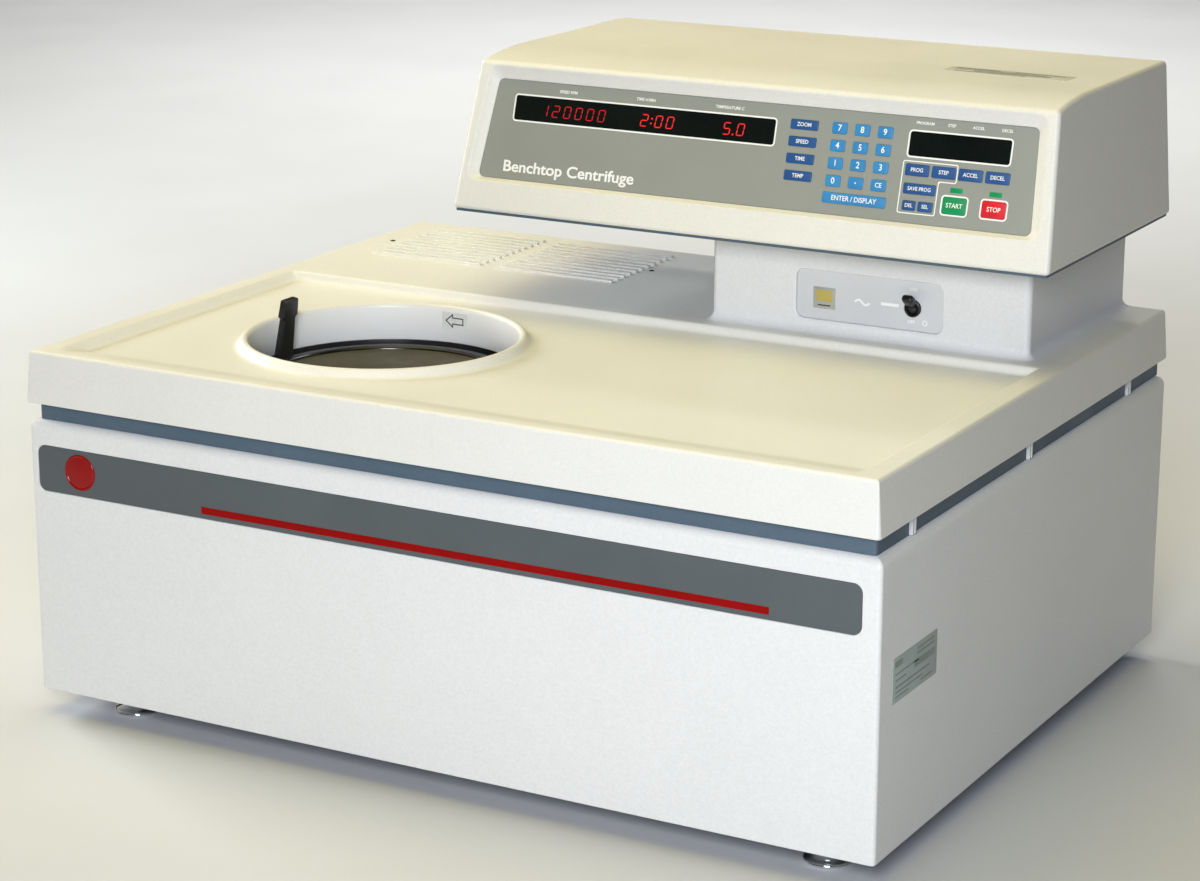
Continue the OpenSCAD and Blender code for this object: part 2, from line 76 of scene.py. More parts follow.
def look(name, data, at, target, roll=0.0):
    ob = bpy.data.objects.new(name, data)
    bpy.context.scene.collection.objects.link(ob)
    back = (Vector(at) - Vector(target)).normalized()
    ob.matrix_world = (Matrix.Translation(at) @ back.to_track_quat("Z", "Y").to_matrix().to_4x4()
                       @ Matrix.Rotation(roll, 4, "Z"))
    return ob


CAMERA_AT = (1.1560, -2.0882, 0.8789)
CAMERA_TURN = (29.206, 15.782, 0.087)  # yaw, pitch down and roll, in degrees


def camera():
    data = bpy.data.cameras.new("camera")
    data.sensor_width = 36.0
    data.lens = 93.48
    data.clip_start, data.clip_end = 0.05, 60.0
    ob = bpy.data.objects.new("camera", data)
    bpy.context.scene.collection.objects.link(ob)
    yaw, pitch, roll = (math.radians(a) for a in CAMERA_TURN)
    ob.matrix_world = (Matrix.Translation(CAMERA_AT) @ Matrix.Rotation(yaw, 4, "Z")
                       @ Matrix.Rotation(math.pi / 2 - pitch, 4, "X") @ Matrix.Rotation(roll, 4, "Z"))
    bpy.context.scene.camera = ob


def area(name, at, target, size, watts, colour):
    data = bpy.data.lights.new(name, "AREA")
    data.shape = "RECTANGLE"
    data.size, data.size_y = size
    data.energy = watts
    data.color = colour
    return look(name, data, at, target)


# name, place, what it points at, size, watts and colour
LIGHTS = (
    ("near", (1.05, -2.15, 0.85), (0.0, 0.0, 0.25), (0.5, 0.4), 25.0, (0.81, 0.87, 1.0)),
    ("key", (0.8, -1.95, 1.15), (0.0, 0.0, 0.25), (0.5, 0.4), 19.0, (0.98, 0.99, 1.0)),
    ("fill", (-2.4, 0.35, 1.2), (0.0, 0.1, 0.3), (1.0, 0.8), 49.0, (0.96, 1.0, 1.0)),
    ("ceiling", (-0.1, -0.35, 2.3), (0.0, -0.05, 0.2), (2.2, 1.7), 18.0, (1.0, 0.91, 0.25)),
    ("top", (-0.9, -0.1, 1.9), (0.0, -0.05, 0.2), (1.2, 1.6), 10.0, (1.0, 0.75, 0.45)),
    ("back", (-1.4, 2.6, 2.4), (-2.8, 5.0, 0.3), (2.4, 1.8), 120.0, (1.0, 0.99, 0.94)),
    ("behind", (-0.2, 1.6, 2.0), (0.2, 2.9, 0.0), (1.0, 0.8), 30.0, (1.0, 0.98, 0.94)),
)


def studio():
    for light in LIGHTS:
        area(*light)
    world = bpy.data.worlds.new("world")
    world.use_nodes = True
    sky = world.node_tree.nodes["Background"]
    sky.inputs["Color"].default_value = (1.0, 1.0, 1.0, 1.0)
    sky.inputs["Strength"].default_value = 0.02
    bpy.context.scene.world = world
    bpy.context.scene.view_settings.view_transform = "Standard"


# ---------------------------------------------------------------- materials

def link(tree, a, b):
    tree.links.new(a, b)


def node(tree, kind, **values):
    n = tree.nodes.new("ShaderNode" + kind)
    for key, value in values.items():
        setattr(n, key, value)
    return n


def noise(tree, where, scale, detail=2.0, rough=0.5):
    n = node(tree, "TexNoise")
    n.inputs["Scale"].default_value = scale
    n.inputs["Detail"].default_value = detail
    n.inputs["Roughness"].default_value = rough
    link(tree, where, n.inputs["Vector"])
    return n.outputs["Fac"]


def spread(tree, value, lo, hi, out_lo, out_hi):
    n = node(tree, "MapRange")
    for name, v in (("From Min", lo), ("From Max", hi), ("To Min", out_lo), ("To Max", out_hi)):
        n.inputs[name].default_value = v
    link(tree, value, n.inputs["Value"])
    return n.outputs["Result"]


def mixed(tree, amount, a, b, blend="MIX"):
    n = node(tree, "Mix", data_type="RGBA", blend_type=blend)
    link(tree, amount, n.inputs["Factor"])
    for value, socket in ((a, n.inputs["A"]), (b, n.inputs["B"])):
        if isinstance(value, tuple):
            socket.default_value = (*value, 1.0)
        else:
            link(tree, value, socket)
    return n.outputs["Result"]


def finish_of(name, low, high, rough, patch=5.0, soil=0.06, speck=0.0, speck_scale=900.0, grain=0.0,
              bump=0.12, depth=0.0002, second=0.0, stretch=(1, 1, 1), metal=0.0, coat=0.0, glow=None,
              spec=0.5):
    """A painted, moulded or metal finish: patchy colour, soiling, specks, uneven gloss and a bumpy grain."""
    m = bpy.data.materials.new(name)
    m.use_nodes = True
    tree = m.node_tree
    tree.nodes.clear()
    out = node(tree, "OutputMaterial")
    shader = node(tree, "BsdfPrincipled")
    link(tree, shader.outputs["BSDF"], out.inputs["Surface"])
    where = node(tree, "TexCoord").outputs["Object"]
    colour = mixed(tree, spread(tree, noise(tree, where, patch, 4.0, 0.6), 0.3, 0.7, 0.0, 1.0), low, high)
    dirt = spread(tree, noise(tree, where, patch * 0.6 + 3.0, 8.0, 0.68), 0.52, 0.74, 0.0, soil)
    colour = mixed(tree, dirt, colour, tuple(c * 0.45 for c in low))
    if speck:
        dots = spread(tree, noise(tree, where, speck_scale, 1.0), 0.3, 0.7, 0.0, speck)
        colour = mixed(tree, dots, colour, tuple(c * 0.55 for c in low))
    link(tree, colour, shader.inputs["Base Color"])
    gloss = spread(tree, noise(tree, where, patch * 2.3, 5.0, 0.6), 0.3, 0.7, rough[0], rough[1])
    link(tree, gloss, shader.inputs["Roughness"])
    shader.inputs["Metallic"].default_value = metal
    shader.inputs["Specular IOR Level"].default_value = spec
    shader.inputs["Coat Weight"].default_value = coat
    shader.inputs["Coat Roughness"].default_value = 0.08
    if glow:
        shader.inputs["Emission Color"].default_value = (*glow[0], 1.0)
        shader.inputs["Emission Strength"].default_value = glow[1]
    if grain:
        place = node(tree, "Mapping")
        place.inputs["Scale"].default_value = stretch
        link(tree, where, place.inputs["Vector"])
        height = noise(tree, place.outputs["Vector"], grain, 2.0, 0.55)
        if second:
            add = node(tree, "Math", operation="ADD")
            link(tree, height, add.inputs[0])
            link(tree, noise(tree, where, second, 3.0, 0.6), add.inputs[1])
            height = add.outputs["Value"]
        rise = node(tree, "Bump")
        rise.inputs["Strength"].default_value = bump
        rise.inputs["Distance"].default_value = depth
        link(tree, height, rise.inputs["Height"])
        link(tree, rise.outputs["Normal"], shader.inputs["Normal"])
    return m


def row(*values, **named):
    return values, named


FINISHES = {
    "shell_white": row((0.775, 0.778, 0.775), (0.80, 0.802, 0.80), (0.42, 0.52), 4.0, 0.05,
                       0.12, 520.0, 620.0, 0.38, 0.0004, 360.0),
    "shell_cream": row((0.775, 0.768, 0.735), (0.80, 0.793, 0.76), (0.42, 0.54), 4.0, 0.05,
                       0.10, 520.0, 620.0, 0.32, 0.0003, 360.0),
    "steel_plate": row((0.50, 0.51, 0.52), (0.60, 0.61, 0.62), (0.30, 0.45), 9.0, 0.15,
                       0.10, 400.0, 300.0, 0.10, 0.0002, metal=1.0, stretch=(1, 14, 1)),
    "rear_sheet": row((0.50, 0.505, 0.50), (0.56, 0.565, 0.56), (0.40, 0.55), 6.0, 0.10,
                      0.10, 600.0, 500.0, 0.25, 0.0003),
    "slate": row((0.072, 0.113, 0.155), (0.086, 0.132, 0.178), (0.42, 0.58), 9.0, 0.25,
                 0.15, 500.0, 420.0, 0.25, 0.0003),
    "clip": row((0.60, 0.61, 0.60), (0.70, 0.71, 0.70), (0.30, 0.45), 60.0, 0.12,
                0.05, 900.0, 700.0, 0.15, 0.0002),
    "black_plastic": row((0.010, 0.010, 0.011), (0.018, 0.018, 0.019), (0.28, 0.42), 22.0,
                         0.2, 0.2, 900.0, 800.0, 0.18, 0.0002),
    "panel_grey": row((0.285, 0.300, 0.275), (0.305, 0.320, 0.294), (0.40, 0.50), 9.0, 0.04,
                      0.10, 1500.0, 1200.0, 0.12, 0.0001),
    "switch_grey": row((0.64, 0.645, 0.665), (0.68, 0.685, 0.70), (0.40, 0.52), 14.0, 0.05,
                       0.08, 1200.0, 1000.0, 0.15, 0.0001),
    "window": row((0.004, 0.0065, 0.006), (0.007, 0.010, 0.009), (0.05, 0.11), 20.0, 0.1,
                  grain=60.0, bump=0.02, depth=0.0002, coat=0.4),
    "nameplate_grey": row((0.082, 0.098, 0.106), (0.095, 0.113, 0.122), (0.38, 0.50), 10.0,
                          0.10, 0.12, 900.0, 900.0, 0.20, 0.0002),
    "badge_red": row((0.26, 0.001, 0.001), (0.30, 0.002, 0.002), (0.34, 0.44), 30.0, 0.06,
                     0.05, 1200.0, 700.0, 0.08, 0.0001, spec=0.1),
    "badge_gloss": row((0.26, 0.001, 0.001), (0.30, 0.002, 0.002), (0.16, 0.24), 30.0, 0.06,
                       0.05, 1200.0, 700.0, 0.06, 0.0001, spec=0.3),
    "door_metal": row((0.052, 0.048, 0.027), (0.080, 0.074, 0.043), (0.45, 0.65), 14.0, 0.30,
                      0.30, 600.0, 500.0, 0.45, 0.0004, spec=0.3),
    "alloy": row((0.60, 0.60, 0.60), (0.70, 0.70, 0.70), (0.24, 0.38), 9.0, 0.12,
                 0.06, 600.0, 260.0, 0.08, 0.0002, metal=1.0, stretch=(1, 1, 18)),
    "bowl_metal": row((0.22, 0.22, 0.22), (0.30, 0.30, 0.30), (0.30, 0.48), 9.0, 0.18,
                      0.10, 500.0, 240.0, 0.12, 0.0002, metal=0.9, stretch=(1, 1, 20)),
    "armour": row((0.28, 0.28, 0.29), (0.34, 0.34, 0.35), (0.40, 0.55), 7.0, 0.2,
                  0.12, 400.0, 260.0, 0.15, 0.0003, metal=1.0),
    "motor": row((0.035, 0.045, 0.050), (0.05, 0.062, 0.068), (0.40, 0.55), 9.0, 0.2,
                 0.10, 500.0, 420.0, 0.25, 0.0003),
    "spindle_steel": row((0.62, 0.63, 0.64), (0.72, 0.73, 0.74), (0.12, 0.22), 20.0, 0.08,
                         0.0, 900.0, 300.0, 0.05, 0.0001, metal=1.0, stretch=(1, 1, 30)),
    "rotor_titanium": row((0.20, 0.195, 0.19), (0.27, 0.262, 0.255), (0.22, 0.34), 14.0,
                          0.12, 0.06, 700.0, 300.0, 0.08, 0.0001, metal=1.0, stretch=(1, 1, 24)),
    "foot_chrome": row((0.72, 0.73, 0.74), (0.84, 0.85, 0.86), (0.06, 0.16), 40.0, 0.20,
                       0.04, 900.0, 260.0, 0.04, 0.0001, metal=1.0, stretch=(1, 1, 12)),
    "key_dark": row((0.018, 0.082, 0.265), (0.024, 0.100, 0.310), (0.32, 0.42), 50.0, 0.06,
                    0.10, 1600.0, 1400.0, 0.12, 0.0001),
    "key_light": row((0.036, 0.235, 0.540), (0.046, 0.275, 0.600), (0.32, 0.42), 50.0, 0.06,
                     0.10, 1600.0, 1400.0, 0.12, 0.0001),
    "key_green": row((0.004, 0.270, 0.090), (0.008, 0.310, 0.110), (0.32, 0.42), 50.0, 0.06,
                     0.08, 1600.0, 1400.0, 0.12, 0.0001),
    "key_red": row((0.66, 0.010, 0.020), (0.74, 0.016, 0.030), (0.32, 0.42), 50.0, 0.06,
                   0.08, 1600.0, 1400.0, 0.12, 0.0001),
    "led_red": row((0.33, 0.009, 0.009), (0.37, 0.012, 0.012), (0.25, 0.35), 60.0, 0.05,
                   grain=900.0, bump=0.05, depth=0.0001, glow=((1.0, 0.015, 0.02), 0.25)),
    "led_bright": row((0.48, 0.014, 0.014), (0.54, 0.018, 0.018), (0.25, 0.35), 60.0, 0.05,
                      grain=900.0, bump=0.05, depth=0.0001, glow=((1.0, 0.02, 0.02), 0.6)),
    "print_white": row((0.90, 0.91, 0.90), (0.94, 0.95, 0.94), (0.40, 0.50), 60.0, 0.08,
                       0.05, 1800.0, 1500.0, 0.10, 0.0001),
    "print_dark": row((0.030, 0.032, 0.034), (0.045, 0.048, 0.05), (0.40, 0.50), 60.0, 0.08,
                      0.10, 1800.0, 1500.0, 0.10, 0.0001),
    "label_silver": row((0.42, 0.44, 0.42), (0.52, 0.54, 0.52), (0.26, 0.42), 40.0, 0.2,
                        0.12, 1500.0, 700.0, 0.12, 0.0001, metal=0.35, stretch=(8, 1, 1)),
    "door_gloss": row((0.006, 0.006, 0.007), (0.010, 0.010, 0.011), (0.16, 0.26), 30.0, 0.2,
                      0.05, 900.0, 300.0, 0.06, 0.0001, spec=0.35),
    # liner_white: a whiter, glossier copy of the shell finish for the opening's inner wall; its raised albedo
    # is partly the liner's own paler tone and partly painted sheen
    "liner_white": row((0.90, 0.90, 0.885), (0.94, 0.94, 0.925), (0.28, 0.38), 8.0, 0.03,
                       0.04, 900.0, 500.0, 0.12, 0.0002, 90.0),
    "label_film": row((0.74, 0.75, 0.74), (0.80, 0.81, 0.80), (0.24, 0.34), 40.0, 0.1,
                      0.06, 1500.0, 700.0, 0.10, 0.0001),
    "label_pale": row((0.60, 0.60, 0.57), (0.68, 0.68, 0.64), (0.26, 0.40), 40.0, 0.1,
                      0.08, 1500.0, 700.0, 0.10, 0.0001, stretch=(8, 1, 1)),
    "label_blue": row((0.33, 0.40, 0.39), (0.38, 0.46, 0.45), (0.30, 0.44), 40.0, 0.15,
                      0.12, 1500.0, 700.0, 0.12, 0.0001),
    "label_bars": row((0.20, 0.23, 0.22), (0.26, 0.29, 0.28), (0.30, 0.44), 60.0, 0.1,
                      0.12, 1500.0, 900.0, 0.12, 0.0001),
    "label_yellow": row((0.50, 0.39, 0.09), (0.56, 0.44, 0.12), (0.35, 0.45), 60.0, 0.1,
                        0.05, 1500.0, 900.0, 0.08, 0.0001),
}
MATERIALS = {name: finish_of(name, *values, **named) for name, (values, named) in FINISHES.items()}
FLOOR = finish_of("floor", (0.585, 0.595, 0.62), (0.61, 0.62, 0.645), (0.55, 0.65), 2.0, 0.02,
                  0.03, 500.0, 300.0, 0.08, 0.0002)


# ---------------------------------------------------------------- shapes

FACE = (Matrix.Translation((0, FACE_Y * MM, FACE_Z * MM))
        @ Matrix.Rotation(math.radians(90 - TILT), 4, "X") @ Matrix.Scale(MM, 4))


def front(x, y, z):
    """Upright plane that faces the front: across, up, outward, in millimetres."""
    upright = Matrix.Rotation(math.pi / 2, 4, "X")
    return Matrix.Translation((x * MM, y * MM, z * MM)) @ upright @ Matrix.Scale(MM, 4)


def flat(x=0.0, y=0.0, z=0.0):
    return Matrix.Translation((x * MM, y * MM, z * MM)) @ Matrix.Scale(MM, 4)


def offset_poly(points, grow):
    """A convex outline with each edge moved outwards; grow is one number or one per edge."""
    n = len(points)
    grows = grow if isinstance(grow, (list, tuple)) else [grow] * n
    edges = []
    for i in range(n):
        a, b = Vector(points[i]), Vector(points[(i + 1) % n])
        d = (b - a).normalized()
        edges.append((a + Vector((d.y, -d.x)) * grows[i], d))
    out = []
    for i in range(n):
        (p, d), (q, e) = edges[i - 1], edges[i]
        cross = d.x * e.y - d.y * e.x
        t = ((q.x - p.x) * e.y - (q.y - p.y) * e.x) / cross
        out.append((p.x + d.x * t, p.y + d.y * t))
    return out


def round_poly(points, radius, steps=6):
    out, n = [], len(points)
    for i in range(n):
        p = Vector(points[i])
        a, b = Vector(points[i - 1]) - p, Vector(points[(i + 1) % n]) - p
        la, lb = a.length, b.length
        a.normalize(); b.normalize()
        turn = a.angle(b)
        reach = min(max(radius, 0.02) / math.tan(turn / 2), la * 0.49, lb * 0.49)
        r = reach * math.tan(turn / 2)
        c = p + (a + b).normalized() * (r / math.sin(turn / 2))
        v0, v1 = p + a * reach - c, p + b * reach - c
        phi = v0.angle(v1)
        for k in range(steps + 1):
            s = k / steps
            v = (v0 * math.sin((1 - s) * phi) + v1 * math.sin(s * phi)) / math.sin(phi)
            out.append((c.x + v.x, c.y + v.y))
    return out


def rect(w, d, cx=0.0, cy=0.0):
    return [(cx - w / 2, cy - d / 2), (cx + w / 2, cy - d / 2),
            (cx + w / 2, cy + d / 2), (cx - w / 2, cy + d / 2)]


def arc(cx, cy, r, a0, a1, steps):
    return [(cx + r * math.cos(math.radians(a0 + (a1 - a0) * i / steps)),
             cy + r * math.sin(math.radians(a0 + (a1 - a0) * i / steps))) for i in range(steps + 1)]


def add_rings(bm, rings, closed=False, caps=True, mat=0):
    """Skins a stack of rings of points, each with the same count."""
    loops = [[bm.verts.new(p) for p in ring] for ring in rings]
    pairs = list(zip(loops, loops[1:])) + ([(loops[-1], loops[0])] if closed else [])
    n = len(loops[0])
    for lower, upper in pairs:
        for i in range(n):
            bm.faces.new((lower[i], lower[(i + 1) % n], upper[(i + 1) % n], upper[i])).material_index = mat
    if caps and not closed:
        bm.faces.new(list(reversed(loops[0]))).material_index = mat
        bm.faces.new(loops[-1]).material_index = mat
    return loops


def plate_into(bm, outline, radius, z0, z1, edge=0.3, place=None, mat=0, steps=6, edge_steps=3, foot=0.0):
    """A flat plate with rounded corners and a rounded upper edge, and a lower one too if foot is given."""
    levels = [(foot - foot * math.sin(math.pi / 2 * k / 2), z0 + foot - foot * math.cos(math.pi / 2 * k / 2))
              for k in range(3)] if foot else [(0.0, z0)]
    levels += [(edge - edge * math.cos(math.pi / 2 * k / edge_steps),
                z1 - edge + edge * math.sin(math.pi / 2 * k / edge_steps)) for k in range(edge_steps + 1)]
    rings = []
    for inset, z in levels:
        ring = round_poly(offset_poly(outline, -inset), max(radius - inset, 0.05), steps)
        rings.append([Vector((x, y, z)) for x, y in ring])
    if place is not None:
        rings = [[place @ p for p in ring] for ring in rings]
    add_rings(bm, rings, mat=mat)


def lathe_into(bm, profile, place, steps=96, mat=0):
    """Turns an outline of (radius, height) about the local Z axis; it closes on itself or on the axis."""
    rings = []
    for k in range(steps):
        a = 2 * math.pi * k / steps
        rings.append([bm.verts.new(place @ Vector((r * math.cos(a), r * math.sin(a), z)))
                      for r, z in profile])
    n = len(profile)
    shut = profile[0][0] > 1e-6 or profile[-1][0] > 1e-6
    for k in range(steps):
        a, b = rings[k], rings[(k + 1) % steps]
        for i in range(n if shut else n - 1):
            j = (i + 1) % n
            bm.faces.new((a[i], b[i], b[j], a[j])).material_index = mat


def round_path(points, steps=5):
    """A closed outline of (x, y, corner radius) with those corners rounded."""
    out, n = [], len(points)
    for i in range(n):
        x, y, r = points[i]
        p = Vector((x, y))
        if r <= 0:
            out.append((x, y))
            continue
        a, b = Vector(points[i - 1][:2]) - p, Vector(points[(i + 1) % n][:2]) - p
        la, lb = a.length, b.length
        a.normalize(); b.normalize()
        turn = a.angle(b)
        reach = min(r / math.tan(turn / 2), la * 0.49, lb * 0.49)
        rr = reach * math.tan(turn / 2)
        c = p + (a + b).normalized() * (rr / math.sin(turn / 2))
        v0, v1 = p + a * reach - c, p + b * reach - c
        phi = v0.angle(v1)
        for k in range(steps + 1):
            s = k / steps
            v = (v0 * math.sin((1 - s) * phi) + v1 * math.sin(s * phi)) / math.sin(phi)
            out.append((c.x + v.x, c.y + v.y))
    return out


def box_into(bm, lo, hi, place=None, mat=0):
    corners = [Vector((x, y, z)) for z in (lo[2], hi[2]) for x, y in
               ((lo[0], lo[1]), (hi[0], lo[1]), (hi[0], hi[1]), (lo[0], hi[1]))]
    if place is not None:
        corners = [place @ p for p in corners]
    add_rings(bm, [corners[:4], corners[4:]], mat=mat)


def solid(name, bm, *mats):
    bmesh.ops.remove_doubles(bm, verts=bm.verts, dist=1e-7)
    bmesh.ops.dissolve_degenerate(bm, edges=bm.edges, dist=1e-7)
    bmesh.ops.recalc_face_normals(bm, faces=bm.faces)
    mesh = bpy.data.meshes.new(name)
    bm.to_mesh(mesh)
    bm.free()
    ob = bpy.data.objects.new(name, mesh)
    bpy.context.scene.collection.objects.link(ob)
    for m in mats:
        mesh.materials.append(MATERIALS[m])
    return ob


def baked(ob):
    """Applies the object's modifiers."""
    mesh = bpy.data.meshes.new_from_object(ob.evaluated_get(bpy.context.evaluated_depsgraph_get()))
    ob.modifiers.clear()
    ob.data = mesh


def carve(ob, *cutters):
    for cutter in cutters:
        mod = ob.modifiers.new("cut", "BOOLEAN")
        mod.operation, mod.solver, mod.object = "DIFFERENCE", "EXACT", cutter
    baked(ob)
    for cutter in cutters:
        bpy.data.objects.remove(cutter)


def smooth(ob, angle=32.0, weighted=True):
    ob.data.shade_smooth()
    ob.data.set_sharp_from_angle(angle=math.radians(angle))
    if weighted:
        mod = ob.modifiers.new("normals", "WEIGHTED_NORMAL")
        mod.keep_sharp = True
        baked(ob)


def ready(ob, body, stands_for=(), angle=32.0, weighted=True):
    smooth(ob, angle, weighted)
    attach(ob, body)
    if stands_for:
        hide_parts(*stands_for)
    return ob


def text_into(bm, words, size, place, x, y, z=0.0, mat=0, bold=0.0, thick=0.05, wide=1.0, curves=3):
    """Plain sans lettering, centred at x, y on the given plane."""
    curve = bpy.data.curves.new("words", "FONT")
    curve.body = words
    curve.size = size
    curve.align_x, curve.align_y = "CENTER", "CENTER"
    curve.extrude = thick
    curve.offset = bold
    curve.resolution_u = curves
    ob = bpy.data.objects.new("words", curve)
    bpy.context.scene.collection.objects.link(ob)
    mesh = bpy.data.meshes.new_from_object(ob.evaluated_get(bpy.context.evaluated_depsgraph_get()))
    mesh.transform(place @ Matrix.Translation((x, y, z)) @ Matrix.Diagonal((wide, 1, 1, 1)))
    first = len(bm.faces)
    bm.from_mesh(mesh)
    bm.faces.ensure_lookup_table()
    for f in bm.faces[first:]:
        f.material_index = mat
    bpy.data.objects.remove(ob)
    bpy.data.curves.remove(curve)
    bpy.data.meshes.remove(mesh)


# ---------------------------------------------------------------- cabinet

def levels_of(pairs, w, d, r, steps=6):
    """Rings of a rounded rectangle at (inset, height) pairs."""
    return [[Vector((x, y, z)) * MM for x, y in
             round_poly(rect(w - 2 * e, d - 2 * e), max(r - e, 0.6), steps)] for e, z in pairs]


def cabinet():
    top_r = 7.5
    pairs = [(1.6, CAB_LO), (0.5, CAB_LO + 0.5), (0.0, CAB_LO + 1.6), (0.0, CAB_HI - top_r)]
    pairs += [(top_r - top_r * math.cos(math.radians(a)), CAB_HI - top_r + top_r * math.sin(math.radians(a)))
              for a in (12, 25, 38, 51, 64, 77, 90)]
    pairs += [(52.0, CAB_HI), (52.0, CAB_HI - 4), (4.0, CAB_HI - 4), (4.0, CAB_LO)]
    bm = bmesh.new()
    add_rings(bm, levels_of(pairs, CAB_W, CAB_D, 3.4), closed=True)
    ob = solid("cabinet_shell", bm, "shell_white")
    # pocket for the nameplate, and the opening behind
    bm = bmesh.new()
    plate_into(bm, rect(698.8, 37.4), 7.0, -1.0, 4.0, 0.05, front(-3, -280, 203))
    pocket = solid("pocket", bm, "shell_white")
    bm = bmesh.new()
    plate_into(bm, rect(600.4, 170.4), 8.2, -8.0, 8.0, 0.05, front(0, 278, 130))
    hatch = solid("hatch", bm, "shell_white")
    carve(ob, pocket, hatch)
    ready(ob, "frame", ("lower_cabinet",))


def nameplate():
    place = front(-3, -280, 203)
    bm = bmesh.new()
    plate_into(bm, rect(698, 36.6), 6.8, -0.9, -0.05, 0.35, place)
    ob = solid("nameplate_strip", bm, "nameplate_grey")
    ready(ob, "frame", ("nameplate",))
    bm = bmesh.new()
    plate_into(bm, rect(475, 5.6, 42.5, -11.8), 0.3, -0.2, 0.12, 0.1, place)
    ready(solid("nameplate_stripe", bm, "badge_red"), "frame")
    # plain domed badge with a rolled rim
    bm = bmesh.new()
    dome = [(0.0, 0.9)] + [(r, 0.35 + 0.55 * (1 - (r / 11.6) ** 2)) for r in (3, 6, 9, 11.4)]
    rim = [(14.4, -1.0), (14.4, 0.2), (14.2, 0.6), (13.8, 0.9), (13.3, 1.0), (12.8, 0.85), (12.3, 0.3)]
    lathe_into(bm, [(0.0, -1.0)] + rim + dome[::-1], front(-312, -280, 203.8), 72)
    ready(solid("badge_disc", bm, "badge_gloss"), "frame", ("badge",), 40, False)


def soften(ob, width, angle=34.0):
    """Rounds a CAD node's edges a little, with modifiers only."""
    weld = ob.modifiers.new("weld", "WELD")
    weld.merge_threshold = 2e-5
    bevel = ob.modifiers.new("bevel", "BEVEL")
    bevel.width = width * MM
    bevel.segments = 2
    bevel.limit_method = "ANGLE"
    bevel.angle_limit = math.radians(angle)
    bevel.use_clamp_overlap = True
    mod = ob.modifiers.new("normals", "WEIGHTED_NORMAL")
    mod.keep_sharp = True


# ---------------------------------------------------------------- top cover

def ease(x, a, b):
    t = min(max((x - a) / (b - a), 0.0), 1.0)
    return t * t * (3 - 2 * t)


STEP = ((44.6, 0.0), (46.2, 0.03), (47.4, 0.10), (48.3, 0.22), (49.0, 0.40), (49.5, 0.60), (50.0, 0.78),
        (50.6, 0.89), (51.4, 0.96), (52.6, 1.0))


def step_up(y):
    """The step from the work surface to the rear deck: a hollow foot, a steep face and a tight upper edge."""
    if y <= STEP[0][0]:
        return 0.0
    for (y0, t0), (y1, t1) in zip(STEP, STEP[1:]):
        if y < y1:
            return t0 + (t1 - t0) * (y - y0) / (y1 - y0)
    return 1.0


def tray_height(x, y):
    """The cover's upper surface: rim and rear deck, with the sunk work surface."""
    sunk = ease(x, -341, -332) * (1 - ease(x, 331, 339)) * (1 - step_up(y))
    sunk *= min(max((y + 269) / 30.0, 0.0), 1.0) if y < -239 else 1.0
    return COVER_HI - (COVER_HI - TRAY_Z) * sunk


def lines_of(lo, hi, fine):
    """Grid lines from lo to hi, close together over the fine stretches."""
    out, x = [lo], lo
    while x < hi - 1e-6:
        step = 14.0
        for a, b, s in fine:
            if a - 1e-6 <= x < b - 1e-6:
                step = s
            elif x < a:
                step = min(step, a - x)
        x = min(x + step, hi)
        out.append(x)
    return out


